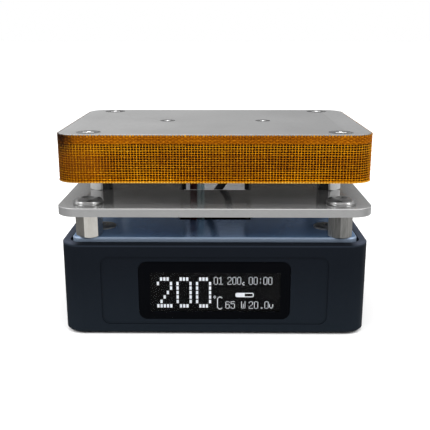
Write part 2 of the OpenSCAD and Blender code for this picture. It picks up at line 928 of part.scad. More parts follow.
module upper_standoffs() {
    color([0.72, 0.71, 0.69])
        translate([0, 0, shield_top_z])
            for (i = [0, 1])
                translate([(i == 0 ? -1 : 1) * upper_x, -upper_shift_y, 0])
                    rotate(upper_turns[i])
                        hex_pillar(upper_pillar_h, -1, upper_pillar_h + 1);
}

module standoff_screws() {
    color([0.82, 0.82, 0.83])
        translate([0, 0, shield_z])
            at_sides(upper_x, -upper_shift_y)
                mirror([0, 0, 1])
                    pan_screw(pan_head_d, pan_head_h, screw_r, standoff_screw_l);
}

module backing_plate() {
    color([0.62, 0.62, 0.63])
        difference() {
            translate([0, 0, heater_z])
                rounded_block(plate_w, plate_d, backing_t, plate_r);
            translate([0, 0, heater_z - 1])
                rounded_block(slot_w, slot_d, backing_t + 2, slot_r);
            translate([0, 0, heater_z - 1])
                at_corners(plate_screw_x, plate_screw_y)
                    cylinder(h = backing_t + 2, r = screw_r + thread_gap);
            translate([0, 0, heater_z - 1])
                at_sides(upper_x, -upper_shift_y)
                    cylinder(h = backing_t + 2, r = screw_r + hole_gap);
        }
}

module backing_screws() {
    color([0.82, 0.82, 0.83])
        translate([0, 0, backing_top_z])
            at_sides(upper_x, -upper_shift_y)
                pan_screw(pan_head_d, pan_head_h, screw_r, backing_screw_l);
}

// Heater

module insulation_felt() {
    felt_margin = 1.2;
    felt_w = plate_w - 2 * felt_margin;
    felt_d = plate_d - 2 * felt_margin;
    felt_h = clamp_z - backing_top_z;
    color([0.9, 0.88, 0.84])
        translate([0, 0, backing_top_z])
            difference() {
                rounded_block(felt_w, felt_d, felt_h, plate_r - felt_margin);
                translate([0, 0, -1])
                    rounded_block(slot_w, slot_d, felt_h + 2, slot_r);
                translate([0, 0, -1])
                    at_corners(plate_screw_x, plate_screw_y)
                        cylinder(h = felt_h + 2, d = spacer_d + 2 * hole_gap);
                translate([0, 0, -1])
                    at_sides(upper_x, -upper_shift_y)
                        cylinder(h = pan_head_h + 1 + hole_gap, d = pan_head_d + 2 * hole_gap);
            }
}

module corner_spacers() {
    color([0.85, 0.83, 0.78])
        translate([0, 0, backing_top_z])
            at_corners(plate_screw_x, plate_screw_y)
                difference() {
                    cylinder(h = plate_z - backing_top_z, d = spacer_d);
                    translate([0, 0, -1])
                        cylinder(h = heater_h, r = screw_r + hole_gap);
                }
}

module clamp_plate() {
    window = [lead_x[1] - lead_x[0] + 4, 4];
    color([0.66, 0.66, 0.67])
        translate([0, 0, clamp_z])
            difference() {
                rounded_block(core_w - 1, core_d - 1, clamp_t, core_r);
                at_sides(clamp_screw_pitch / 2)
                    translate([0, 0, -1])
                        cylinder(h = clamp_t + 2, r = small_screw_r + thread_gap);
                translate([(lead_x[0] + lead_x[1] - window.x) / 2, sensor_y - window.y / 2, -1])
                    cube([window.x, window.y, clamp_t + 2]);
            }
}

module heating_elements() {
    element_w = core_w - 2 * element_margin;
    element_y = sensor_y + sensor_d / 2 + sensor_gap + element_d / 2;
    color([0.93, 0.92, 0.9])
        for (sy = [-1, 1])
            translate([-element_w / 2, sy * element_y - element_d / 2, element_z])
                cube([element_w, element_d, element_t]);
}

module heater_plate() {
    color([0.68, 0.68, 0.68])
        difference() {
            union() {
                translate([0, 0, plate_z])
                    rounded_block(plate_w, plate_d, plate_t, plate_r);
                translate([0, 0, core_z])
                    rounded_block(core_w, core_d, core_t + eps, core_r);
            }
            translate([0, 0, top_z])
                at_corners(plate_screw_x, plate_screw_y)
                    sunk_hole(sunk_head_d, screw_r, plate_t + 1, hole_gap / 2);
            translate([0, 0, top_z])
                at_sides(clamp_screw_pitch / 2)
                    sunk_hole(small_sunk_head_d, small_screw_r, plate_t + core_t + 1, hole_gap / 2);
            translate([0, 0, top_z])
                edge_cut(plate_w, plate_d, plate_r, edge_break / 2);
        }
}

module plate_screws() {
    color([0.8, 0.8, 0.81])
        translate([0, 0, top_z])
            at_corners(plate_screw_x, plate_screw_y)
                sunk_screw(sunk_head_d, screw_r, heater_h - 0.3);
}

module clamp_screws() {
    color([0.8, 0.8, 0.81])
        translate([0, 0, top_z])
            at_sides(clamp_screw_pitch / 2)
                sunk_screw(small_sunk_head_d, small_screw_r, top_z - clamp_z);
}

module heater_wrap() {
    wrap_h = heater_h - wrap_drop;
    color([0.72, 0.48, 0.06])
        translate([0, 0, heater_z])
            difference() {
                rounded_block(footprint_w, footprint_d, wrap_h, corner_r);
                translate([0, 0, -1])
                    rounded_block(plate_w, plate_d, wrap_h + 2, plate_r);
            }
}

module heater_terminals() {
    middle_x = (red_route[len(red_route) - 1].x + black_route[len(black_route) - 1].x) / 2;
    color([0.92, 0.9, 0.84])
        translate([middle_x, terminal_y, clamp_z - terminal_size.z / 2])
            cube(terminal_size, center = true);
}

module temperature_sensor() {
    color([0.75, 0.6, 0.45])
        translate([(lead_x[0] + lead_x[1] - sensor_l) / 2, sensor_y, core_z - sensor_d / 2])
            rotate([0, 90, 0])
                cylinder(h = sensor_l, d = sensor_d);
}

// Wires

module wire_red() {
    color([0.55, 0.05, 0.08])
        wire_tube(route_points(red_route, plug_top_z, wire_end_z), wire_d, 1);
}

module wire_black() {
    color([0.05, 0.05, 0.06])
        wire_tube(route_points(black_route, plug_top_z, wire_end_z), wire_d, 2);
}

module sensor_leads() {
    start_y = connector_y - connector_shift;
    route = [for (p = lead_route) [p.x, start_y + p.y * (sensor_y - start_y), p.z]];
    color([0.9, 0.92, 0.92])
        for (x = lead_x)
            translate([x, 0, 0])
                wire_tube(route_points(route, connector_top_z, lead_end_z), lead_d, 1);
}

case_shell();
rubber_feet();
display_lens();
oled_panel();
oled_board();
display_header();
main_board();
board_screws();
controller_chips();
power_transistors();
inductor();
capacitors();
usb_c_shell();
usb_c_tongue();
heater_socket();
heater_plug();
sensor_connector();
tact_switches();
button_place(-1) plunger();  // plunger_minus
button_place(0) plunger();  // plunger_set
button_place(1) plunger();  // plunger_plus
button_place(-1) button_cap();  // button_minus
button_place(0) button_cap();  // button_set
button_place(1) button_cap();  // button_plus
top_cover();
cover_screws();
lower_standoffs();
shield_plate();
shield_screws();
upper_standoffs();
standoff_screws();
backing_plate();
backing_screws();
insulation_felt();
corner_spacers();
clamp_plate();
heating_elements();
heater_plate();
plate_screws();
clamp_screws();
heater_wrap();
heater_terminals();
temperature_sensor();
wire_red();
wire_black();
sensor_leads();
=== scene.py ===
import math

import bpy
import numpy as np
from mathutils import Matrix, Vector


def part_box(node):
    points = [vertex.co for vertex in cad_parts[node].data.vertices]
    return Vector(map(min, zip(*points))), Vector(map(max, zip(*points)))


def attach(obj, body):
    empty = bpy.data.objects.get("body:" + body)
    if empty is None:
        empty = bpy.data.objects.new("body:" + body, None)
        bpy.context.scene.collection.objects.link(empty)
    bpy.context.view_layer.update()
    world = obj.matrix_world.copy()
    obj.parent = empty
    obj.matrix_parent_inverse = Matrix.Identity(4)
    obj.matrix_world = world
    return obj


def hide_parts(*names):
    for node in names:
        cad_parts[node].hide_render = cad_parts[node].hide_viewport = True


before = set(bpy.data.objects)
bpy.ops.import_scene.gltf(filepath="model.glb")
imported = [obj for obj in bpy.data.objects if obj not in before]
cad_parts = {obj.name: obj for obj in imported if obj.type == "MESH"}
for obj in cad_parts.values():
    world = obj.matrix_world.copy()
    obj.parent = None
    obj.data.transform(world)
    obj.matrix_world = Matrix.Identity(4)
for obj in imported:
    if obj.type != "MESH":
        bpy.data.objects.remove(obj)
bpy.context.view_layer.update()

scene = bpy.context.scene
MM = 0.001


# Places from the frame, in metres

wrap_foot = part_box("heater_wrap")[0].z
wrap_half_x, wrap_half_y, wrap_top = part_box("heater_wrap")[1]
case_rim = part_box("case_shell")[1].z
screw_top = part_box("plate_screws")[1].z
screen_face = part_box("oled_panel")[0].y


# Node helpers

def plug(tree, socket, value):
    """Sets a socket to a value, or feeds it from another socket."""
    if isinstance(value, bpy.types.NodeSocket):
        tree.links.new(value, socket)
    else:
        socket.default_value = value


def add(tree, kind, inputs=None, **settings):
    """Adds a shader node with its settings, and fills its inputs by name or by number."""
    made = tree.nodes.new("ShaderNode" + kind)
    for name, value in settings.items():
        setattr(made, name, value)
    for name, value in (inputs or {}).items():
        plug(tree, made.inputs[name], value)
    return made


def maths(tree, operation, a, b=0.0, clamp=False):
    return add(tree, "Math", {0: a, 1: b}, operation=operation, use_clamp=clamp).outputs[0]


def product(tree, *factors):
    """The factors, multiplied one after the other."""
    made = factors[0]
    for factor in factors[1:]:
        made = maths(tree, "MULTIPLY", made, factor)
    return made


def reverse(tree, mask):
    return maths(tree, "SUBTRACT", 1.0, mask)


def blend_colour(tree, mask, first, second):
    """The first colour where the mask is 0, the second where it is 1."""
    made = add(tree, "Mix", {0: mask, 6: first, 7: second}, data_type="RGBA")
    return made.outputs[2]


def blend_value(tree, mask, first, second):
    made = add(tree, "Mix", {0: mask, 2: first, 3: second}, data_type="FLOAT")
    return made.outputs[0]


def remap(tree, value, low, high, to_low=0.0, to_high=1.0):
    """Stretches the range low..high of a value to to_low..to_high, and holds it there."""
    made = add(tree, "MapRange", {0: value, 1: low, 2: high, 3: to_low, 4: to_high})
    return made.outputs[0]


def fade(tree, place, start, end, at_start=0.0, at_end=1.0):
    """A mask that changes between two places on an axis, given in millimetres."""
    return remap(tree, place, start * MM, end * MM, at_start, at_end)


def ramp(tree, value, stops):
    """Colours from (place, colour) stops."""
    made = add(tree, "ValToRGB", {0: value})
    colours = made.color_ramp.elements
    while len(colours) < len(stops):
        colours.new(1.0)
    for element, (place, colour) in zip(colours, stops):
        element.position = place
        element.color = colour
    return made.outputs[0]


def tint(red, green=None, blue=None):
    """A colour as the eye sees it, 0 to 255, turned into light values. One number is a grey."""
    def light(level):
        share = level / 255
        return share / 12.92 if share <= 0.04045 else ((share + 0.055) / 1.055) ** 2.4
    if green is None:
        green = blue = red
    return (light(red), light(green), light(blue), 1.0)


def here(tree):
    """The shaded point's place, in metres."""
    return add(tree, "TexCoord").outputs["Object"]


def split(tree, vector):
    """The X, Y and Z of a vector."""
    return add(tree, "SeparateXYZ", {0: vector}).outputs


def surface(tree, label):
    """What the surface says of itself, such as its Normal."""
    return add(tree, "NewGeometry").outputs[label]


def noise(tree, place, scale, detail, **more):
    inputs = {"Vector": place, "Scale": scale, "Detail": detail, **more}
    return add(tree, "TexNoise", inputs).outputs[0]


def effect(name, inputs):
    """An empty shader node group that puts out a mask: returns it, its inputs and its mask's socket."""
    tree = bpy.data.node_groups.new(name, "ShaderNodeTree")
    for label, kind, value in inputs:
        socket = tree.interface.new_socket(label, in_out="INPUT", socket_type="NodeSocket" + kind)
        socket.default_value = value
    tree.interface.new_socket("Mask", in_out="OUTPUT", socket_type="NodeSocketFloat")
    given = tree.nodes.new("NodeGroupInput").outputs
    return tree, given, tree.nodes.new("NodeGroupOutput").inputs["Mask"]


# Effects that several finishes share

# Fineness of the grain along X, Y and Z, in cells per metre
EVEN = (9000.0, 9000.0, 9000.0)
ALONG_X = (500.0, 16000.0, 16000.0)
UPRIGHT = (16000.0, 16000.0, 700.0)

# How level a face is, from 0 to 1, where the finish of cut edges ends and that of faces begins
EDGE_SLOPES = (0.45, 0.8)
LIP_SLOPES = (0.9, 0.99)


def make_grain():
    """Fine noise, short or long in each direction as Stretch says."""
    tree, given, mask = effect("fine_grain", [("Stretch", "Vector", EVEN), ("Detail", "Float", 3.0)])
    place = add(tree, "VectorMath", {0: here(tree), 1: given["Stretch"]}, operation="MULTIPLY").outputs[0]
    plug(tree, mask, remap(tree, noise(tree, place, 1.0, given["Detail"], Roughness=0.6), 0.28, 0.72))
    return tree


def make_patches():
    """Soft clouds of handling and heat, wide against the grain."""
    tree, given, mask = effect("soft_patches", [("Size", "Float", 120.0)])
    clouds = noise(tree, here(tree), given["Size"], 2.0, Distortion=0.4)
    plug(tree, mask, remap(tree, clouds, 0.35, 0.7))
    return tree


def make_worn_edges():
    """Picks out outer edges, where a finish rubs bright."""
    tree, given, mask = effect("worn_edges", [("Amount", "Float", 0.5)])
    edge = remap(tree, surface(tree, "Pointiness"), 0.52, 0.62)
    uneven = remap(tree, noise(tree, here(tree), 900.0, 2.0), 0.3, 0.6, 0.3, 1.0)
    plug(tree, mask, product(tree, edge, uneven, given["Amount"]))
    return tree


def make_settled_dust():
    """Sparse specks on what faces up."""
    tree, given, mask = effect("settled_dust", [("Amount", "Float", 0.3)])
    facing = remap(tree, split(tree, surface(tree, "Normal"))[2], 0.5, 0.95)
    specks = add(tree, "TexVoronoi", {"Vector": here(tree), "Scale": 420.0})
    dots = remap(tree, specks.outputs["Distance"], 0.1, 0.03)
    plug(tree, mask, product(tree, facing, dots, given["Amount"]))
    return tree


def make_cut_faces():
    """1 on upright faces, such as the cut edge of a plate, and 0 on level ones."""
    tree, given, mask = effect(
        "cut_faces", [("Steep", "Float", EDGE_SLOPES[0]), ("Flat", "Float", EDGE_SLOPES[1])],
    )
    level = maths(tree, "ABSOLUTE", split(tree, surface(tree, "True Normal"))[2])
    plug(tree, mask, remap(tree, level, given["Steep"], given["Flat"], 1.0, 0.0))
    return tree


grain_effect = make_grain()
patch_effect = make_patches()
edge_effect = make_worn_edges()
dust_effect = make_settled_dust()
cut_effect = make_cut_faces()


def use(tree, group, **inputs):
    """Places a shared effect in a material and returns its mask."""
    made = tree.nodes.new("ShaderNodeGroup")
    made.node_tree = group
    for name, value in inputs.items():
        plug(tree, made.inputs[name], value)
    return made.outputs["Mask"]


def grain(tree, stretch=EVEN, detail=3.0):
    return use(tree, grain_effect, Stretch=stretch, Detail=detail)


def patches(tree, size):
    return use(tree, patch_effect, Size=size)


def cut_faces(tree, slopes=EDGE_SLOPES):
    return use(tree, cut_effect, Steep=slopes[0], Flat=slopes[1])


def speckle(tree, dark, pale):
    """Two close colours mixed by the grain."""
    return blend_colour(tree, grain(tree), dark, pale)


def box_mask(tree, across, high, soft=0.1):
    """1 where X and Z lie in two spans, in millimetres, and 0 outside them, with a soft rim."""
    x, y, z = split(tree, here(tree))
    sides = []
    for place, (start, end) in ((x, across), (z, high)):
        sides += [fade(tree, place, start - soft, start), fade(tree, place, end, end + soft, 1.0, 0.0)]
    return product(tree, *sides)


def scorch_mask(tree, centre, reach, soft):
    """1 near a point, fading with a ragged rim, all in millimetres."""
    place = here(tree)
    spot = tuple(part * MM for part in centre)
    gap = add(tree, "VectorMath", {0: place, 1: spot}, operation="DISTANCE").outputs["Value"]
    ragged = maths(tree, "SUBTRACT", noise(tree, place, 2400.0, 4.0), 0.5)
    wobble = product(tree, ragged, 6.0 * MM)
    return fade(tree, maths(tree, "ADD", gap, wobble), reach, reach + soft, 1.0, 0.0)


# How a finish is put together

def new_finish(name, **plain):
    """A material with its shader's constant sockets set: returns it, its tree and the shader."""
    material = bpy.data.materials.new(name)
    material.use_nodes = True
    tree = material.node_tree
    shader = tree.nodes["Principled BSDF"]
    for label, value in plain.items():
        shader.inputs[label.replace("_", " ")].default_value = value
    return material, tree, shader


def coat(shader, colour, mask, rough, height=None, depth=0.0, strength=1.0):
    """Feeds the shader a colour, a roughness that a mask takes from one value to another, and a relief."""
    tree = shader.id_data
    plug(tree, shader.inputs["Base Color"], colour)
    plug(tree, shader.inputs["Roughness"], blend_value(tree, mask, rough[0], rough[1]))
    if height is not None:
        relief = add(tree, "Bump", {"Strength": strength, "Distance": depth, "Height": height})
        plug(tree, shader.inputs["Normal"], relief.outputs[0])


def lay_over(shader, mask, value, label="Base Color"):
    """Covers what feeds a socket of the shader, where the mask is 1."""
    tree = shader.id_data
    socket = shader.inputs[label]
    blend = blend_colour if label == "Base Color" else blend_value
    plug(tree, socket, blend(tree, mask, socket.links[0].from_socket, value))


def grainy(name, dark, pale, rough, stretch, depth, patch=120.0, wear=0.0, dust=0.0, worn=None, cut=None,
           cut_slopes=EDGE_SLOPES, **plain):
    """A finish with fine grain, soft patches, rubbed edges and a little dust.

    Cut gives the two colours and the roughness of the upright faces, where they differ.
    """
    material, tree, shader = new_finish(name, **plain)
    fine = grain(tree, stretch)
    wide = patches(tree, patch)
    mixed = maths(tree, "ADD", product(tree, fine, 0.6), product(tree, wide, 0.4))
    coat(shader, blend_colour(tree, mixed, dark, pale), mixed, rough, fine, depth)
    if cut:
        upright = cut_faces(tree, cut_slopes)
        lay_over(shader, upright, blend_colour(tree, fine, cut[0], cut[1]))
        lay_over(shader, upright, cut[2], "Roughness")
    if wear:
        lay_over(shader, use(tree, edge_effect, Amount=wear), worn or pale)
    if dust:
        lay_over(shader, use(tree, dust_effect, Amount=dust), tint(190, 188, 182))
    return material, tree, shader


def plastic(name, dark, pale, rough, specular=0.4):
    return grainy(name, dark, pale, rough, EVEN, 2e-6, patch=200.0, wear=0.2, Specular_IOR_Level=specular)


def bright_metal(name, dark, pale, rough):
    return grainy(name, dark, pale, rough, EVEN, 1e-6, patch=400.0, wear=0.4, worn=tint(240), Metallic=1.0)


# Finishes

def finish_hot_plate():
    """Dull aluminium, darker towards its right end."""
    material, tree, shader = grainy(
        "hot_plate", tint(145), tint(156), (0.44, 0.54), (7000.0, 7000.0, 7000.0),
        3e-6, patch=60.0, wear=0.3, dust=0.15, worn=tint(196, 196, 197), Metallic=0.55,
    )
    across = split(tree, here(tree))[0]
    lay_over(shader, fade(tree, across, -10, 36, 0.0, 0.45), tint(112, 112, 113))
    return material


def finish_case():
    """Moulded housing, greyer low down, with painted highlights on the rim's top at its ends and in a faint
    line under the rim.
    """
    material, tree, shader = grainy(
        "case", tint(12, 15, 20), tint(18, 21, 27), (0.40, 0.50), (5200.0, 5200.0, 5200.0),
        4e-6, patch=50.0, cut=(tint(16, 20, 25), tint(21, 25, 32), 0.45), Specular_IOR_Level=0.02,
    )
    across, deep, high = split(tree, here(tree))
    below_rim = maths(tree, "SUBTRACT", case_rim, high)
    upright = cut_faces(tree)
    low_down = product(tree, upright, fade(tree, high, 2, 17, 1.0, 0.0))
    lay_over(shader, low_down, speckle(tree, tint(22, 27, 33), tint(28, 34, 41)))
    # Painted highlight: a faint paler line just under the rim, where its edge catches the light.
    rim_highlight_low = fade(tree, below_rim, 0.75, 0.6, 0.0, 0.8)
    rim_highlight_high = fade(tree, below_rim, 0.4, 0.25, 1.0, 0.0)
    lay_over(shader, product(tree, rim_highlight_low, rim_highlight_high, upright), tint(37, 43, 52))
    # Painted highlight: the rim's top is paler at both ends.
    ends = fade(tree, maths(tree, "ABSOLUTE", across), 31.5, 33.5)
    rubbed_grain_and_highlight = product(tree, ends, fade(tree, below_rim, 1.3, 0.1), reverse(tree, upright))
    lay_over(shader, rubbed_grain_and_highlight, speckle(tree, tint(54, 60, 72), tint(84, 90, 104)))
    return material


def finish_cover():
    """Anodised lid, painted a little paler towards its sides, where it reflects the light beyond the shield.
    """
    material, tree, shader = grainy(
        "cover", tint(112, 155, 209), tint(124, 167, 221), (0.18, 0.26), (6000.0, 6000.0, 6000.0),
        1e-6, patch=90.0, wear=0.3, dust=0.2, worn=tint(130, 150, 176),
        cut=(tint(143, 160, 182), tint(157, 173, 194), 0.5), cut_slopes=LIP_SLOPES, Metallic=0.6,
    )
    across = split(tree, here(tree))[0]
    # Painted reflection: the level faces turn paler towards the sides.
    aside = fade(tree, maths(tree, "ABSOLUTE", across), 12, 26, 0.0, 0.85)
    level = reverse(tree, cut_faces(tree, LIP_SLOPES))
    lay_over(shader, product(tree, aside, level), tint(146, 186, 236))
    return material


def finish_shield():
    """Bright rolled plate with grain along it and dull cut edges."""
    return grainy(
        "shield", tint(176), tint(190, 189, 188), (0.10, 0.17), (900.0, 14000.0, 14000.0),
        1e-6, patch=80.0, wear=0.4, dust=0.2, worn=tint(160),
        cut=(tint(157), tint(174), 0.46), Metallic=0.72,
    )[0]


def finish_nickel():
    """Plated bar, dull on the lower pillars at the right; the upper are painted pale, with painted shade on
    their inner side.
    """
    material, tree, shader = grainy(
        "nickel", tint(190, 187, 181), tint(214, 211, 204), (0.16, 0.28), UPRIGHT,
        2e-6, patch=300.0, wear=0.4, worn=tint(236, 234, 228),
    )
    above_cover = (22, 29.5)
    above_shield = (30, 40)
    streaks = grain(tree, (5200.0, 5200.0, 260.0), 4.0)
    dull = box_mask(tree, (26, 34), above_cover)
    lay_over(shader, dull, blend_colour(tree, streaks, tint(118, 118, 116), tint(170, 169, 166)))
    lay_over(shader, dull, blend_value(tree, streaks, 0.5, 0.36), "Roughness")
    # Painted reflection: the upper pillars are nearly matt, painted pale outside and dark and streaked on
    # their inner sides, for what their facets reflect.
    upper = box_mask(tree, (-40, 40), above_shield)
    left_inside = box_mask(tree, (-28.4, -20), above_shield)
    right_inside = box_mask(tree, (20, 28.6), above_shield)
    inside = maths(tree, "MAXIMUM", left_inside, right_inside)
    inner_side_shade = blend_colour(tree, streaks, tint(34), tint(74))
    pale = speckle(tree, tint(214), tint(255))
    lay_over(shader, upper, blend_colour(tree, inside, pale, inner_side_shade))
    plug(tree, shader.inputs["Metallic"], blend_value(tree, upper, 1.0, 0.2))
    return material


def finish_plate_screw():
    """Bright plating. The lip round the recess is painted white and glows as a painted glint, and the recess
    further down is painted dark as shade.
    """
    material, tree, shader = grainy(
        "plate_screw", tint(132), tint(158), (0.2, 0.34), EVEN,
        1e-6, patch=400.0, wear=0.2, worn=tint(190), Emission_Strength=0.7,
    )
    # Painted glint: the lip is white and glows. Painted shade: the recess below it is dark.
    depth = maths(tree, "SUBTRACT", screw_top, split(tree, here(tree))[2])
    lip = fade(tree, depth, 0.02, 0.05)
    recess = fade(tree, depth, 0.16, 0.22)
    lay_over(shader, lip, tint(255))
    lay_over(shader, recess, tint(30, 30, 32))
    plug(tree, shader.inputs["Metallic"], blend_value(tree, lip, 0.8, 0.1))
    painted_glint_glow = maths(tree, "SUBTRACT", lip, recess, clamp=True)
    plug(tree, shader.inputs["Emission Color"], blend_colour(tree, painted_glint_glow, tint(0), tint(255)))
    return material


def stroke(tree, distance):
    """1 on a printed line, from the distance to its middle."""
    return fade(tree, distance, 0.18, 0.22, 1.0, 0.0)


def bar_mark(tree, along, across):
    """A short printed bar, from the distances along it and across it."""
    return product(tree, fade(tree, along, 1.0, 1.04, 1.0, 0.0), stroke(tree, across))


def ring_mark(tree, aside, up):
    reach = maths(tree, "SQRT", maths(tree, "ADD", product(tree, aside, aside), product(tree, up, up)))
    return stroke(tree, maths(tree, "ABSOLUTE", maths(tree, "SUBTRACT", reach, 0.85 * MM)))


def finish_buttons():
    """Dark caps printed with a minus, a ring and a plus."""
    material, tree, shader = plastic(
        "button_plastic", tint(20, 24, 31), tint(30, 35, 43), (0.34, 0.46), 0.3,
    )
    printed = 0.0
    for node in ("button_minus", "button_set", "button_plus"):
        low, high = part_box(node)
        middle = (low + high) / 2
        offset = add(tree, "VectorMath", {0: here(tree), 1: middle}, operation="SUBTRACT")
        x, y, z = split(tree, offset.outputs[0])
        aside, up = maths(tree, "ABSOLUTE", y), maths(tree, "ABSOLUTE", z)
        mark = ring_mark(tree, aside, up) if node == "button_set" else bar_mark(tree, aside, up)
        if node == "button_plus":
            mark = maths(tree, "MAXIMUM", mark, bar_mark(tree, up, aside))
        printed = maths(tree, "MAXIMUM", printed, mark)
    lay_over(shader, printed, speckle(tree, tint(168, 174, 182), tint(196, 200, 206)))
    return material


def finish_backing():
    """Pressed plate under the heater, pale over its front part and painted darker behind, as shade where
    little light reaches under the heater.
    """
    material, tree, shader = grainy(
        "backing", tint(206), tint(230), (0.36, 0.48), ALONG_X, 2e-6, patch=90.0, wear=0.3, Metallic=0.5,
    )
    deep = split(tree, here(tree))[1]
    # Painted shade: darker behind, where little light reaches.
    lay_over(shader, fade(tree, deep, 6.2, 8.5), tint(128, 126, 122))
    return material


def finish_felt():
    """Pale fibres with scorched patches."""
    material, tree, shader = new_finish("felt", Specular_IOR_Level=0.1)
    fibres = grain(tree, (3500.0, 3500.0, 9000.0), 6.0)
    pale = blend_colour(tree, fibres, tint(186, 178, 160), tint(232, 228, 216))
    colour = blend_colour(tree, patches(tree, 110.0), pale, tint(176, 150, 112))
    coat(shader, colour, fibres, (0.85, 1.0), fibres, 6e-5)
    return material


def finish_circuit_board():
    """Green lacquer, paler where it covers copper tracks."""
    material, tree, shader = new_finish("circuit_board", Specular_IOR_Level=0.5)
    tracks = add(
        tree, "TexVoronoi", {"Vector": here(tree), "Scale": 260.0},
        distance="CHEBYCHEV", feature="DISTANCE_TO_EDGE",
    ).outputs["Distance"]
    copper = remap(tree, tracks, 0.05, 0.08, 1.0, 0.0)
    fine = grain(tree)
    lacquer = blend_colour(tree, fine, tint(8, 52, 30), tint(14, 66, 40))
    colour = blend_colour(tree, copper, lacquer, tint(26, 96, 58))
    coat(shader, colour, fine, (0.22, 0.34), copper, 3e-5, 0.6)
    return material


def finish_lens():
    """Clear pane with a faint cool tint over the display."""
    material, tree, shader = new_finish("lens", IOR=1.1, Transmission_Weight=1.0)
    wiped = patches(tree, 140.0)
    colour = blend_colour(tree, wiped, tint(222, 226, 232), tint(232, 234, 238))
    coat(shader, colour, wiped, (0.0, 0.002))
    return material


def finish_screen():
    """Black display glass that glows faintly, a little more over its working area, as painted light."""
    material, tree, shader = new_finish("screen_glass", Specular_IOR_Level=0.0, Emission_Strength=1.0)
    fine = grain(tree, (6000.0, 6000.0, 6000.0))
    coat(shader, blend_colour(tree, fine, tint(1, 1, 2), tint(2, 2, 3)), fine, (0.35, 0.5))
    # Painted light: a faint glow all over, a little paler over the working area.
    working = box_mask(tree, (-15.6, 16.0), (4.6, 15.2), 0.15)
    painted_screen_glow = blend_colour(tree, fine, tint(10), tint(17, 17, 16))
    plug(tree, shader.inputs["Emission Color"], blend_colour(tree, working, tint(5, 6, 9), painted_screen_glow))
    return material


def finish_lit_dots(name):
    """Glowing display dots, a little uneven."""
    material, tree, shader = new_finish(name, Emission_Strength=1.0, Roughness=0.6)
    uneven = patches(tree, 900.0)
    plug(tree, shader.inputs["Emission Color"], blend_colour(tree, uneven, tint(240), tint(255)))
    plug(tree, shader.inputs["Base Color"], blend_colour(tree, uneven, tint(110), tint(130)))
    return material


def finish_thread(name, shades, bake=0.85):
    """Varnished glass yarn. Each thread has its own tone, with painted glints where it crosses over; heat
    has browned the top and one corner, and painted shade darkens the left end.
    """
    material, tree, shader = new_finish(name, Specular_IOR_Level=0.04)
    tone = add(tree, "Attribute", attribute_name="tone").outputs["Fac"]
    fibres = grain(tree, (2600.0, 2600.0, 9000.0), 4.0)
    aged = patches(tree, 70.0)
    level = maths(tree, "ADD", product(tree, tone, 0.62), product(tree, fibres, 0.26))
    level = maths(tree, "ADD", level, product(tree, aged, 0.12), clamp=True)
    plain = ramp(tree, level, list(zip((0.05, 0.42, 0.72, 0.96), shades)))
    coat(shader, plain, level, (0.55, 0.34), fibres, 2e-5, 0.8)

    across, deep, high = split(tree, here(tree))
    below_top = maths(tree, "SUBTRACT", wrap_top, high)
    above_foot = maths(tree, "SUBTRACT", high, wrap_foot)
    yellow = blend_colour(tree, level, tint(96, 50, 0), tint(250, 190, 20))
    lay_over(shader, fade(tree, below_top, 4.6, 2.6, 0.0, 0.3), yellow)
    half_way = product(tree, fade(tree, above_foot, 1.6, 3.2), fade(tree, below_top, 5.4, 3.6, 0.13, 0.0))
    lay_over(shader, half_way, tint(52, 16, 0))
    baked = ramp(tree, level, [(0.05, tint(62, 24, 0)), (0.5, tint(134, 68, 0)), (0.95, tint(188, 106, 2))])
    lay_over(shader, fade(tree, below_top, 2.2, 1.8, 0.0, bake), baked)
    # Painted shade: darker towards the left end, where the wrap turns away from the light.
    lay_over(shader, fade(tree, across, -27.0, -35.8, 0.0, 0.6), tint(62, 30, 2))
    burnt_corner = scorch_mask(tree, (-35.2, -23.8, 47.4), 1.4, 3.0)
    lay_over(shader, burnt_corner, tint(40, 18, 2))
    facing_up = remap(tree, split(tree, surface(tree, "True Normal"))[2], 0.72, 0.9, 0.0, 0.85)
    lay_over(shader, product(tree, facing_up, fade(tree, below_top, 0.3, 0.0)), tint(74, 64, 56))
    return material


def finish_lining():
    """A near-black sheet behind the mesh, which keeps its holes dark, with amber varnish that has filled
    some of the holes.
    """
    material, tree, shader = new_finish("lining", Specular_IOR_Level=0.05)
    mottle = patches(tree, 160.0)
    coat(shader, blend_colour(tree, mottle, tint(4, 2, 4), tint(22, 6, 2)), mottle, (0.45, 0.65))
    filled = scorch_mask(tree, (-30.0, -25.0, 40.5), 3.2, 4.0)
    lay_over(shader, filled, tint(108, 58, 6))
    return material


def finish_wire(name, dark, pale, specular):
    return grainy(
        name, dark, pale, (0.38, 0.5), (2500.0, 2500.0, 2500.0), 3e-6, patch=300.0,
        Specular_IOR_Level=specular,
    )[0]


def finish_sleeve():
    """Cloudy pale tubing that lets light through."""
    material, tree, shader = new_finish("white_sleeve", IOR=1.35, Transmission_Weight=0.5)
    cloudy = grain(tree, (2500.0, 2500.0, 1200.0))
    colour = blend_colour(tree, cloudy, tint(206, 236, 242), tint(232, 248, 250))
    coat(shader, colour, cloudy, (0.4, 0.6))
    return material


def finish_window_collar():
    """Pressed lip of the shield's window, bare and pale behind the wires, where it glows faintly as painted
    light, and painted dark at its ends as shade.
    """
    # Painted light: the middle glows faintly. Painted shade: the ends are dark.
    material, tree, shader = new_finish("window_collar", Specular_IOR_Level=0.4, Emission_Strength=0.13)
    middle = box_mask(tree, (-7.8, 7.8), (20, 40))
    rubbed_grain_and_highlight = grain(tree, ALONG_X)
    pale = blend_colour(tree, rubbed_grain_and_highlight, tint(244), tint(254))
    coat(shader, blend_colour(tree, middle, tint(46, 46, 47), pale), rubbed_grain_and_highlight, (0.34, 0.5))
    plug(tree, shader.inputs["Emission Color"], blend_colour(tree, middle, tint(0), pale))
    return material


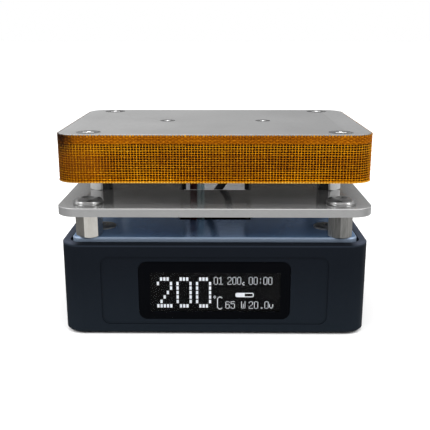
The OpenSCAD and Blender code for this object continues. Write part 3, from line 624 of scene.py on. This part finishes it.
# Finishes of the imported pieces

# Dark and pale tone, roughness from and to, and specular level
PLASTICS = {
    "rubber": ((16, 16, 17), (26, 26, 27), (0.7, 0.85), 0.2),
    "black_plastic": ((18, 18, 20), (30, 30, 32), (0.4, 0.55), 0.4),
    "ferrite": ((48, 48, 52), (70, 70, 74), (0.5, 0.65), 0.4),
    "ivory_plastic": ((214, 206, 180), (230, 224, 202), (0.35, 0.5), 0.4),
    "plunger_plastic": ((176, 168, 148), (194, 188, 170), (0.4, 0.55), 0.4),
    "ceramic": ((222, 218, 208), (240, 237, 230), (0.5, 0.65), 0.4),
    "sensor_glass": ((168, 128, 92), (196, 156, 118), (0.15, 0.3), 0.5),
}

# Dark and pale tone, and roughness from and to
BRIGHT_METALS = {
    "screw_steel": ((146, 146, 146), (166, 166, 166), (0.18, 0.26)),
    "dark_screw": ((150, 146, 140), (180, 176, 168), (0.4, 0.5)),
    "can_aluminium": ((196, 196, 200), (216, 216, 220), (0.2, 0.32)),
    "bright_steel": ((204, 204, 206), (224, 224, 226), (0.16, 0.28)),
}


def dress_packed_pieces():
    """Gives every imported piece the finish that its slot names, and returns the finishes."""
    finishes = {
        "case": finish_case(),
        "cover": finish_cover(),
        "shield": finish_shield(),
        "nickel": finish_nickel(),
        "hot_plate": finish_hot_plate(),
        "plate_screw": finish_plate_screw(),
        "backing": finish_backing(),
        "felt": finish_felt(),
        "lens": finish_lens(),
        "screen_glass": finish_screen(),
        "button_plastic": finish_buttons(),
        "circuit_board": finish_circuit_board(),
    }
    for name, (dark, pale, rough, specular) in PLASTICS.items():
        finishes[name] = plastic(name, tint(*dark), tint(*pale), rough, specular)[0]
    for name, (dark, pale, rough) in BRIGHT_METALS.items():
        finishes[name] = bright_metal(name, tint(*dark), tint(*pale), rough)[0]
    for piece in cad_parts.values():
        for slot in piece.material_slots:
            name = slot.material.name.split(".")[0] if slot.material else ""
            if name in finishes:
                slot.material = finishes[name]
    return finishes


# Camera, light and floor

def place_camera():
    """The photograph's view: from the front, a little above."""
    lens = bpy.data.cameras.new("view")
    lens.sensor_width = 36.0
    lens.sensor_height = 36.0
    lens.sensor_fit = "HORIZONTAL"
    lens.lens = 57.72
    lens.clip_start = 0.01
    lens.clip_end = 20.0
    camera = bpy.data.objects.new("view", lens)
    camera.location = (0.00133, -0.17694, 0.07034)
    camera.rotation_euler = (math.radians(74.97), 0.0, math.radians(0.45))
    scene.collection.objects.link(camera)
    scene.camera = camera


def add_softbox(name, place, aim, size, power):
    """A rectangular lamp in metres and watts, aimed at a height in the platform's middle."""
    light = bpy.data.lights.new(name, "AREA")
    light.shape = "RECTANGLE"
    light.size, light.size_y = size
    light.energy = power
    lamp = bpy.data.objects.new(name, light)
    lamp.location = place
    lamp.rotation_euler = (Vector((0, 0, aim)) - Vector(place)).to_track_quat("-Z", "Y").to_euler()
    scene.collection.objects.link(lamp)


def ring_of_light(tree, turn, stops):
    """Brightness round the horizon, from (degrees from the front, level) stops."""
    levels = [(0.5 + angle / 360, (level, level, level, 1.0)) for angle, level in stops]
    return ramp(tree, turn, levels)


def light_studio():
    """Pale light from above and behind, softer in front, and grey at both sides."""
    world = bpy.data.worlds.new("studio")
    world.use_nodes = True
    tree = world.node_tree
    across, deep, high = split(tree, add(tree, "TexCoord").outputs["Generated"])
    bearing = maths(tree, "ARCTAN2", across, product(tree, deep, -1.0))
    turn = remap(tree, bearing, -math.pi, math.pi)
    below = ring_of_light(tree, turn, [
        (-180, 0.2), (-100, 0.2), (-52, 0.2), (-46, 0.86), (62, 0.86), (80, 0.2), (104, 0.2),
        (112, 0.8), (140, 0.8), (150, 0.2), (180, 0.2),
    ])
    above = ring_of_light(tree, turn, [
        (-180, 0.06), (-171, 0.06), (-168, 0.38), (-118, 0.5), (-108, 0.9), (-68, 0.9), (-60, 0.24),
        (52, 0.24), (60, 0.9), (104, 0.9), (115, 0.42), (168, 0.34), (171, 0.06), (180, 0.06),
    ])
    level = blend_value(tree, remap(tree, high, -0.02, 0.04), below, above)
    level = blend_value(tree, remap(tree, high, 0.34, 0.46), level, 0.9)
    level = blend_value(tree, remap(tree, high, 0.55, 0.8), level, 1.55)
    seen = add(tree, "LightPath").outputs["Is Camera Ray"]
    sky = tree.nodes["Background"]
    sky.inputs["Color"].default_value = (1.0, 1.0, 1.0, 1.0)
    plug(tree, sky.inputs["Strength"], blend_value(tree, seen, level, 1.0))
    scene.world = world
    add_softbox("left_softbox", (-0.41, -0.22, 0.4), 0.03, (0.24, 0.24), 1.3)
    add_softbox("side_softbox", (-0.5, -0.05, 0.15), 0.033, (0.24, 0.24), 0.2)
    add_softbox("right_softbox", (0.41, -0.22, 0.4), 0.03, (0.24, 0.24), 1.3)
    add_softbox("top_softbox", (0.0, 0.1, 0.6), 0.03, (0.5, 0.4), 0.6)


def lay_floor():
    """A wide pale sweep under the platform."""
    half = 4.0
    corners = [(-half, -half, 0), (half, -half, 0), (half, half, 0), (-half, half, 0)]
    mesh = bpy.data.meshes.new("floor")
    mesh.from_pydata(corners, [], [(0, 1, 2, 3)])
    floor = bpy.data.objects.new("floor", mesh)
    floor.visible_glossy = False
    scene.collection.objects.link(floor)
    material, tree, shader = new_finish("pale_paper", Specular_IOR_Level=0.05)
    mottle = patches(tree, 3.0)
    colour = blend_colour(tree, mottle, (0.93, 0.93, 0.93, 1.0), (0.95, 0.95, 0.95, 1.0))
    coat(shader, colour, mottle, (0.7, 0.8))
    mesh.materials.append(material)


# Mesh helpers

def new_piece(name, points, faces, material, smooth=True):
    """A shown piece from its points and faces, riding on the base."""
    mesh = bpy.data.meshes.new(name)
    mesh.from_pydata(points, [], faces)
    mesh.polygons.foreach_set("use_smooth", [smooth] * len(mesh.polygons))
    mesh.materials.append(material)
    mesh.update()
    piece = bpy.data.objects.new(name, mesh)
    scene.collection.objects.link(piece)
    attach(piece, "base")
    return piece


def tube_faces(rings, sides, closed=False):
    """Quads round a tube of so many rings and sides. Its ends are capped, or joined in a closed loop."""
    faces = []
    for ring in range(rings if closed else rings - 1):
        near = ring * sides
        far = (ring + 1) % rings * sides
        for k in range(sides):
            n = (k + 1) % sides
            faces.append((near + k, near + n, far + n, far + k))
    if not closed:
        last = (rings - 1) * sides
        faces.append(tuple(reversed(range(sides))))
        faces.append(tuple(range(last, last + sides)))
    return faces


def repeat_faces(faces, count, step):
    """The same faces for each of count copies, whose points follow each other step by step."""
    return [tuple(start + corner for corner in face)
            for start in range(0, count * step, step) for face in faces]


def rounded_loop(x0, x1, y0, y1, radius):
    """Points round a rectangle with round corners."""
    steps = 8
    loop = []
    corners = ((x1 - radius, y1 - radius), (x0 + radius, y1 - radius),
               (x0 + radius, y0 + radius), (x1 - radius, y0 + radius))
    for quarter, (x, y) in enumerate(corners):
        for k in range(steps + 1):
            angle = math.pi / 2 * (quarter + k / steps)
            loop.append((x + radius * math.cos(angle), y + radius * math.sin(angle)))
    return loop


def hoop(outer, inner, start, end):
    """Points of a hoop between two loops, each the loop's two numbers and a level from start to end."""
    turns = [(outer, start), (outer, end), (inner, end), (inner, start)]
    return [(a, b, level) for loop, level in turns for a, b in loop]


# Woven wrap round the heater

THREADS = 346
CORNER = 4.8 * MM
ARC = math.pi / 2 * CORNER
RUN_X = 2 * (wrap_half_x - CORNER)
RUN_Y = 2 * (wrap_half_y - CORNER)
WRAP_LENGTH = 2 * (RUN_X + RUN_Y) + 4 * ARC

# How deep the yarns' middle lies in the wrap, and how far they swing over and under each other
YARN_DEPTH = 0.19 * MM
YARN_SWING = 0.055 * MM

# Level yarns of the hem, the mesh and the tape: height above the foot and half width, in millimetres
hem_rows = [(0.40 + 0.48 * k, 0.1) for k in range(2)]
mesh_rows = [(1.42 + 0.54 * k, 0.073) for k in range(14)]
band_rows = [(9.02 + 0.36 * k, 0.15) for k in range(5)]
weave_rows = [(wrap_foot + z * MM, half * MM) for z, half in hem_rows + mesh_rows + band_rows]


def outline_point(along):
    """Place and outward direction at a distance along the wrap's outline, from the middle of the back."""
    left = (along + RUN_X / 2) % WRAP_LENGTH
    for quarter in range(4):
        run, half = (RUN_Y, wrap_half_x) if quarter % 2 else (RUN_X, wrap_half_y)
        turn = math.pi / 2 * (quarter + 1)
        out = np.array((math.cos(turn), math.sin(turn)))
        tangent = np.array((-out[1], out[0]))
        if left < run:
            return out * half + tangent * (left - run / 2), out
        left -= run
        if left < ARC:
            angle = turn + left / CORNER
            way = np.array((math.cos(angle), math.sin(angle)))
            return out * (half - CORNER) + tangent * (run / 2) + way * CORNER, way
        left -= ARC
    raise ValueError("past the end of the outline")


def outline_table(count, shift=0.0):
    """Places, outward directions and tangents of count even steps along the outline."""
    rows = [outline_point((i + shift) * WRAP_LENGTH / count) for i in range(count)]
    places = np.array([row[0] for row in rows])
    outs = np.array([row[1] for row in rows])
    tangents = np.stack([-outs[:, 1], outs[:, 0]], 1)
    return places, outs, tangents


def with_rise(ways, rise=0.0):
    """Level directions as directions in space, with a rise."""
    return np.concatenate([ways, np.full((len(ways), 1), rise)], 1)


def ribbon_points(centres, sides, outs, half_width, half_thick):
    """Four-sided yarn section at each centre: outer, side, inner, other side."""
    return np.stack([
        centres + outs * half_thick,
        centres + sides * half_width,
        centres - outs * half_thick,
        centres - sides * half_width,
    ], axis=-2)


def woven_piece(name, points, faces, material, tones):
    """A piece of the wrap, whose points carry the tone of their yarn."""
    piece = new_piece(name, points.reshape(-1, 3).tolist(), faces, material)
    attribute = piece.data.attributes.new("tone", "FLOAT", "POINT")
    attribute.data.foreach_set("value", np.clip(tones, 0, 1).astype(np.float32).ravel())
    return piece


def weave_uprights(material, rng):
    """Upright yarns, over one row and under the next."""
    places, outs, tangents = outline_table(THREADS, 0.5)
    levels = [wrap_foot + 0.08 * MM]
    swings = [0.0]
    for row, (z, half) in enumerate(weave_rows):
        if row:
            levels.append((weave_rows[row - 1][0] + z) / 2)
            swings.append(0.0)
        levels.append(z)
        swings.append(1.0 if row % 2 else -1.0)
    levels.append(weave_rows[-1][0] + 0.17 * MM)
    swings.append(0.0)
    rings = len(levels)
    centres = np.zeros((THREADS, rings, 3))
    tones = np.zeros((THREADS, rings, 4))
    lean = rng.normal(0, 0.03 * MM, THREADS)
    tone = 0.5 + rng.normal(0, 0.05, THREADS)
    for ring, (z, swing) in enumerate(zip(levels, swings)):
        sign = np.where(np.arange(THREADS) % 2, swing, -swing)
        depth = YARN_DEPTH - YARN_SWING * sign
        bow = math.sin((z - wrap_foot) / (9 * MM) * math.pi)
        sway = lean * bow + rng.normal(0, 0.012 * MM, THREADS)
        centres[:, ring, :2] = places - outs * depth[:, None] + tangents * sway[:, None]
        centres[:, ring, 2] = z
        # Painted highlight and shade: the tone rises where the yarn passes over and falls where it passes
        # under.
        tones[:, ring, :] = (tone + 0.22 * sign + rng.normal(0, 0.08, THREADS))[:, None]
    width = (0.079 + rng.normal(0, 0.008, THREADS))[:, None, None] * MM
    sides = with_rise(tangents)[:, None, :]
    points = ribbon_points(centres, sides, with_rise(outs)[:, None, :], width, 0.065 * MM)
    faces = repeat_faces(tube_faces(rings, 4), THREADS, rings * 4)
    return woven_piece("wrap_uprights", points, faces, material, tones)


def weave_courses(material, rng):
    """Level yarns right round the heater, each under one upright and over the next."""
    count = THREADS * 2
    places, outs, tangents = outline_table(count)
    rows = len(weave_rows)
    centres = np.zeros((rows, count, 3))
    tones = np.zeros((rows, count, 4))
    steps = np.arange(count)
    turn = steps * 2 * math.pi / count
    crossing = steps % 2
    upright = steps // 2
    for row, (z, half) in enumerate(weave_rows):
        over = np.where(upright % 2, 1.0, -1.0) * (1.0 if row % 2 else -1.0)
        swing = np.where(crossing, -over, 0.0)
        depth = YARN_DEPTH - YARN_SWING * swing
        phase = rng.uniform(0, 2 * math.pi, 2)
        wave = 0.03 * MM * np.sin(turn * 9 + phase[0])
        wave += 0.02 * MM * np.sin(turn * 23 + phase[1])
        wave += rng.normal(0, 0.01 * MM, count)
        centres[row, :, :2] = places - outs * depth[:, None]
        centres[row, :, 2] = z + wave
        slow = 0.08 * np.sin(turn * 5 + phase[1])
        # Painted highlight and shade: the tone rises where the yarn passes over and falls where it passes
        # under.
        level = 0.54 + rng.normal(0, 0.05) + slow + 0.22 * swing + rng.normal(0, 0.08, count)
        tones[row, :, :] = level[:, None]
    up = np.array((0.0, 0.0, 1.0))
    halves = np.array([half for z, half in weave_rows])[:, None, None]
    points = ribbon_points(centres, up, with_rise(outs)[None, :, :], halves, 0.06 * MM)
    faces = repeat_faces(tube_faces(count, 4, closed=True), rows, count * 4)
    woven_piece("wrap_courses", points, faces, material, tones)


def sweep_band(name, profile, tones, material, rng, waver=0.0, beat=0.0):
    """A closed profile of (inset, level) points carried once round the heater, painted light and dark by
    turns.
    """
    count = THREADS * 2
    places, outs, tangents = outline_table(count)
    ribs = len(profile)
    points = np.zeros((count, ribs, 3))
    tone = np.zeros((count, ribs))
    # The beat paints glints and shade on every other step.
    by_turns = beat * np.where(np.arange(count) % 2, 1.0, -1.0)
    for k, (inset, z) in enumerate(profile):
        wobble = rng.normal(0, waver, count) if waver else np.zeros(count)
        points[:, k, :2] = places - outs * (inset + wobble)[:, None]
        points[:, k, 2] = z
        tone[:, k] = tones[k] + rng.normal(0, 0.06, count) + by_turns
    faces = [(a, d, c, b) for a, b, c, d in tube_faces(count, ribs, closed=True)]
    woven_piece(name, points, faces, material, tone)


def ribbed_profile(low, high, ribs, inset, height, back):
    """The section of a tape of fine level cords, from its outer face to its flat back."""
    profile = []
    step = (high - low) / ribs
    for rib in range(ribs):
        z = low + rib * step
        profile += [(inset + height, z), (inset, z + step / 2)]
    profile += [(inset + height, high), (back, high), (back, low)]
    return profile, [0.28, 0.56] * ribs + [0.4, 0.2, 0.2]


def sew_tape(rng):
    """The ribbed tape along the wrap's top."""
    shades = (tint(70, 30, 2), tint(112, 58, 4), tint(140, 78, 8), tint(170, 104, 20))
    tape = finish_thread("woven_tape", shades)
    profile, tones = ribbed_profile(
        wrap_top - 1.95 * MM, wrap_top - 0.12 * MM,
        ribs=5, inset=0.2 * MM, height=0.035 * MM, back=0.34 * MM,
    )
    sweep_band("wrap_top_tape", profile, tones, tape, rng, waver=0.008 * MM)


def fold_hem(rng):
    """The pale turned edge along the wrap's foot."""
    # Paler shades than the mesh yarn, and a beat that makes every other step lighter: painted glints along
    # the edge.
    shades = (tint(96, 46, 2), tint(184, 126, 22), tint(232, 192, 84), tint(252, 232, 160))
    outline = [(0.34, 0.28), (0.3, 0.03), (0.16, 0.0), (0.05, 0.02), (0.0, 0.1), (0.02, 0.2), (0.10, 0.28)]
    profile = [(inset * MM, wrap_foot + z * MM) for inset, z in outline]
    tones = [0.1, 0.1, 0.4, 0.45, 0.45, 0.4, 0.3]
    edging = finish_thread("edge_yarn", shades, bake=0.3)
    sweep_band("wrap_hem", profile, tones, edging, rng, waver=0.012 * MM, beat=0.32)


def line_wrap(rng):
    """A near-black sheet behind the weave."""
    front, back = 0.33 * MM, 0.385 * MM
    low, high = wrap_foot + 0.1 * MM, wrap_top - 0.1 * MM
    profile = [(front, low), (front, high), (back, high), (back, low)]
    sweep_band("wrap_lining", profile, [0.2] * 4, finish_lining(), rng)


def stitch_edge(rng):
    """Short bright loops of yarn that turn over the top edge of the wrap."""
    # Paler shades than the mesh yarn, partly painted glints along the top edge.
    shades = (tint(92, 40, 2), tint(172, 104, 8), tint(218, 156, 26), tint(244, 206, 96))
    places, outs, tangents = outline_table(THREADS, 0.5)
    loop = [(0.11, -0.24), (0.06, -0.1), (0.09, 0.04), (0.22, 0.1), (0.34, 0.05)]
    rings = len(loop)
    centres = np.zeros((THREADS, rings, 3))
    tones = np.zeros((THREADS, rings, 4))
    tones += (0.52 + rng.normal(0, 0.14, THREADS))[:, None, None]
    for ring, (inset, rise) in enumerate(loop):
        centres[:, ring, :2] = places - outs * inset * MM
        centres[:, ring, 2] = wrap_top + rise * MM + rng.normal(0, 0.02 * MM, THREADS)
    sides = with_rise(tangents)[:, None, :]
    faces_out = with_rise(outs * 0.7, 0.7)[:, None, :]
    points = ribbon_points(centres, sides, faces_out, 0.2 * MM, 0.04 * MM)
    faces = repeat_faces(tube_faces(rings, 4), THREADS, rings * 4)
    woven_piece("wrap_edge_stitches", points, faces, finish_thread("stitch_yarn", shades, bake=0.4), tones)


def wrap_heater():
    rng = np.random.default_rng(11)
    shades = (tint(54, 16, 0), tint(164, 91, 0), tint(224, 149, 2), tint(244, 206, 76))
    yarn = finish_thread("woven_yarn", shades)
    uprights = weave_uprights(yarn, rng)
    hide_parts("heater_wrap")
    weave_courses(yarn, rng)
    sew_tape(rng)
    fold_hem(rng)
    line_wrap(rng)
    stitch_edge(rng)


# Display

# Dot patterns of the figures, letters and marks
BIG_DIGITS = {
    "0": [".###."] + ["#...#"] * 5 + [".###."],
    "2": [".###.", "#...#", "....#", "...#.", "..#..", ".#...", "#####"],
}
SMALL = {
    "0": [".###."] + ["#...#"] * 9 + [".###."],
    "1": ["..#..", ".##..", "#.#.."] + ["..#.."] * 7 + ["#####"],
    "2": [".###.", "#...#", "#...#", "....#", "....#", "...#.", "..#..", ".#...", "#....", "#....", "#####"],
    "5": ["#####", "#....", "#....", "####."] + ["....#"] * 4 + ["#...#", "#...#", ".###."],
    "6": [".###.", "#...#", "#....", "#....", "####."] + ["#...#"] * 5 + [".###."],
    "W": ["#...#"] * 4 + ["#.#.#"] * 6 + [".#.#."],
    ":": ["....."] * 2 + ["..#.."] * 2 + ["....."] * 3 + ["..#.."] * 2 + ["....."] * 2,
    ".": ["....."] * 9 + ["..##."] * 2,
    " ": ["....."] * 11,
}
DEGREE = [".#.", "#.#", ".#."]
CELSIUS = ["..###.", ".#...#"] + ["#....."] * 12 + [".#...#", "..###."]
TINY_C = [".##", "#..", "#..", ".##"]
TINY_V = ["#...#"] * 4 + [".#.#.", "..#.."]

# The big figures, in millimetres. The gaps are left free at each side of a cell
FIGURES_LEFT = -13.81
FIGURE_STEP = 4.64
FIGURES_TOP = 13.9
FIGURE_CELL = (0.773, 1.136)
FIGURE_GAPS = (0.12, 0.14)

# Small text, its left and upper edge, width and height, in millimetres
TEXTS = [
    ("01", -0.18, 13.9, 2.2, 1.95),
    ("200", 3.08, 13.9, 3.26, 1.95),
    ("00:00", 8.1, 13.9, 5.6, 1.95),
    ("65 W", 2.6, 7.72, 4.8, 1.87),
    ("20.0", 8.18, 7.73, 4.77, 1.87),
]

# Single marks, their left and upper edge, and the width, height and gaps of a cell, in millimetres
MARKS = [
    (TINY_C, 6.6, 12.6, 0.17, 0.2, (0.01, 0.01)),
    (DEGREE, -0.28, 9.18, 0.22, 0.26, (0.02, 0.02)),
    (CELSIUS, 0.62, 8.9, 0.205, 0.2025, (0.015, 0.0)),
    (TINY_V, 13.07, 7.0, 0.19, 0.19, (0.01, 0.01)),
]

# The level bar's filled part and the outline of the rest, as (x0, x1, z0, z1) in millimetres
BAR_FILLED = [(5.22, 7.2, 8.79, 9.88), (5.0, 5.22, 8.97, 9.7)]
BAR_EMPTY = [(7.2, 9.15, 9.7, 9.88), (7.2, 9.15, 8.79, 8.97), (9.12, 9.33, 8.95, 9.72)]

# What the border leaves free of the display: left, right, lower and upper edge, in millimetres
FREE_VIEW = (-15.15, 15.5, 5.64, 15.48)

BOX_FACES = [(0, 1, 2, 3), (4, 7, 6, 5), (0, 4, 5, 1), (1, 5, 6, 2), (2, 6, 7, 3), (3, 7, 4, 0)]


def pattern_dots(pattern, left, top, cell_x, cell_z, gap):
    """Dots (x0, x1, z0, z1) of a pattern's filled cells, left and top being its upper left corner."""
    dots = []
    for row, line in enumerate(pattern):
        for column, mark in enumerate(line):
            if mark == "#":
                x = left + column * cell_x
                z = top - row * cell_z
                dots.append((x + gap[0], x + cell_x - gap[0], z - cell_z + gap[1], z - gap[1]))
    return dots


def text_dots(text, left, top, width, height):
    """Dots of small text that fills width by height: five cells to a letter, and one between letters."""
    cell_x = width / (len(text) * 6 - 1)
    cell_z = height / 11
    dots = []
    for place, letter in enumerate(text):
        dots += pattern_dots(SMALL[letter], left + place * 6 * cell_x, top, cell_x, cell_z, (0.045, 0.0))
    return dots


def lay_dots(name, dots):
    """Lit dots (x0, x1, z0, z1) in millimetres, thin plates that stand just out of the display's face."""
    points = []
    for x0, x1, z0, z1 in dots:
        for y in (screen_face - 0.03 * MM, screen_face + 0.02 * MM):
            points += [(x * MM, y, z * MM) for x, z in ((x0, z0), (x1, z0), (x1, z1), (x0, z1))]
    faces = repeat_faces(BOX_FACES, len(dots), 8)
    new_piece(name, points, faces, finish_lit_dots(name), smooth=False)


def light_display():
    """The figures, units and level bar, and the border printed on the pane."""
    dots = []
    for place, letter in enumerate("200"):
        left = FIGURES_LEFT + place * FIGURE_STEP
        dots += pattern_dots(BIG_DIGITS[letter], left, FIGURES_TOP, *FIGURE_CELL, FIGURE_GAPS)
    lay_dots("lit_digits", dots + BAR_FILLED)
    dots = []
    for text in TEXTS:
        dots += text_dots(*text)
    for mark in MARKS:
        dots += pattern_dots(*mark)
    lay_dots("lit_text", dots + BAR_EMPTY)
    print_border()


def print_border():
    """The dark border printed on the pane, from its rim to the display's working area."""
    low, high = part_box("display_lens")
    margin = 0.03 * MM
    rim = rounded_loop(low.x + margin, high.x - margin, low.z + margin, high.z - margin, 1.6 * MM)
    view = rounded_loop(*(edge * MM for edge in FREE_VIEW), 0.3 * MM)
    points = [(x, y, z) for x, z, y in hoop(rim, view, low.y - margin, low.y - 0.005 * MM)]
    faces = tube_faces(4, len(rim), closed=True)
    ink = plastic("border_ink", tint(3, 4, 7), tint(6, 7, 10), (0.4, 0.5), 0.02)[0]
    new_piece("lens_border", points, faces, ink, smooth=False)


# Wires

RED_ROUTE = [(-5.8, 0, 14.5), (-5.8, 0, 18.12), (-5.8, 0, 21.73), (-5.8, 0, 26.07), (-5.7, 0, 29.92),
             (-5.7, 0, 34.02), (-5.7, -0.5, 38.6)]
BLACK_ROUTE = [(-1.9, 0, 14.5), (-2, -0.2, 18.12), (-1.9, -0.8, 21.49), (-1.4, -1.4, 25.1), (-0.3, -1.8, 28),
               (0.7, -2, 30.17), (1.8, -2, 31.61), (3.1, -1.8, 33.78), (3.7, -1.4, 36.43), (3.7, -1, 38.6)]
LEAD_ROUTE = [(0, 5.8, 12.5), (0, 4.9, 16.99), (0, 3.7, 22.07), (0, 2.8, 26.85), (0, 2.8, 32.83),
              (0, 2.8, 37.92), (0, 2.8, 42.4)]


def smooth_route(route, cuts):
    """Points on a smooth curve through given ones, with so many cuts between each two."""
    path = []
    for i in range(len(route) - 1):
        before = route[max(i - 1, 0)]
        start = route[i]
        end = route[i + 1]
        after = route[min(i + 2, len(route) - 1)]
        slope = end - before
        bend = 2 * before - 5 * start + 4 * end - after
        twist = 3 * start - before - 3 * end + after
        for k in range(cuts):
            t = k / cuts
            path.append(0.5 * (2 * start + slope * t + bend * t ** 2 + twist * t ** 3))
    path.append(route[-1])
    return path


def wire_piece(name, route, diameter, material, nodes, sides=20, cuts=6):
    """A round wire along a route in millimetres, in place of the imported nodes."""
    path = smooth_route([Vector(point) * MM for point in route], cuts)
    points = []
    for i, place in enumerate(path):
        ahead = path[min(i + 1, len(path) - 1)] - path[max(i - 1, 0)]
        if i in (0, len(path) - 1):
            ahead = Vector((0, 0, 1))
        ahead.normalize()
        side = Vector((0, 1, 0)).cross(ahead).normalized()
        rise = ahead.cross(side)
        for k in range(sides):
            angle = 2 * math.pi * k / sides
            points.append(place + (side * math.cos(angle) + rise * math.sin(angle)) * diameter * MM / 2)
    piece = new_piece(name, points, tube_faces(len(path), sides), material)
    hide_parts(*nodes)


def run_wires():
    """The heater's two leads and the sensor's pair."""
    red = finish_wire("red_silicone", tint(64, 8, 16), tint(86, 14, 24), 0.4)
    black = finish_wire("black_silicone", tint(14, 14, 16), tint(26, 26, 28), 0.5)
    wire_piece("red_wire", RED_ROUTE, 1.9, red, ["wire_red"])
    wire_piece("black_wire", BLACK_ROUTE, 1.9, black, ["wire_black"])
    sleeve = finish_sleeve()
    for number, lead_x, nodes in ((1, -4.4, ["sensor_leads"]), (2, -3.4, [])):
        route = [(lead_x, y, z) for x, y, z in LEAD_ROUTE]
        wire_piece(f"sensor_lead_{number}", route, 0.9, sleeve, nodes, sides=14, cuts=4)


# Small metal pieces

HEAD_RADIUS = 3.5 * MM
HEAD_HEIGHT = 1.5 * MM

# A flange head from its rolled rim over its dome into the recess: share of the radius, and height in mm
HEAD_PROFILE = [
    (0.96, 0.0), (1.0, 0.08), (1.0, 0.55), (0.99, 0.64), (0.965, 0.68), (0.96, 0.7), (0.96, 0.76),
    (0.945, 0.86), (0.92, 0.96), (0.88, 1.07), (0.83, 1.16), (0.77, 1.25), (0.7, 1.33), (0.61, 1.4),
    (0.5, 1.45), (0.4, 1.48), (0.37, 1.45), (0.34, 1.2), (0.2, 1.02), (0.06, 0.98),
]

# The shield's cable window, and the lip that is pressed round it
WINDOW_HALF_X = 9.1 * MM
WINDOW_FRONT = -6.2 * MM
WINDOW_BACK = 4.2 * MM
WINDOW_CORNER = 1.0 * MM
LIP_THICK = 0.22 * MM
LIP_DROP = 0.62 * MM
LIP_RISE = 0.02 * MM


def round_screw_heads(steel):
    """Low domed heads with a rolled rim and a round recess, over the lower pillars."""
    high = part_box("shield_screws")[1]
    across = high.x - HEAD_RADIUS
    deep = high.y - HEAD_RADIUS
    seat = high.z - HEAD_HEIGHT
    sides = 64
    points = []
    for x, y in ((-across, -deep), (across, -deep), (-across, deep), (across, deep)):
        for share, level in HEAD_PROFILE:
            reach = share * HEAD_RADIUS
            for k in range(sides):
                angle = 2 * math.pi * k / sides
                points.append((x + reach * math.cos(angle), y + reach * math.sin(angle), seat + level * MM))
    rings = len(HEAD_PROFILE)
    faces = repeat_faces(tube_faces(rings, sides), 4, rings * sides)
    heads = new_piece("shield_screw_heads", points, faces, steel)
    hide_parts("shield_screws")


def press_window_collar():
    """A thin lip round the shield's cable window, a little deeper than the plate."""
    low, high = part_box("shield_plate")
    loops = []
    for inset in (0.0, LIP_THICK):
        loops.append(rounded_loop(
            inset - WINDOW_HALF_X, WINDOW_HALF_X - inset, WINDOW_FRONT + inset, WINDOW_BACK - inset,
            WINDOW_CORNER - inset,
        ))
    points = hoop(*loops, low.z - LIP_DROP, high.z + LIP_RISE)
    faces = tube_faces(4, len(loops[0]), closed=True)
    new_piece("window_collar", points, faces, finish_window_collar())


place_camera()
light_studio()
lay_floor()
finishes = dress_packed_pieces()
wrap_heater()
round_screw_heads(finishes["screw_steel"])
press_window_collar()
light_display()
run_wires()

scene.view_settings.view_transform = "Standard"
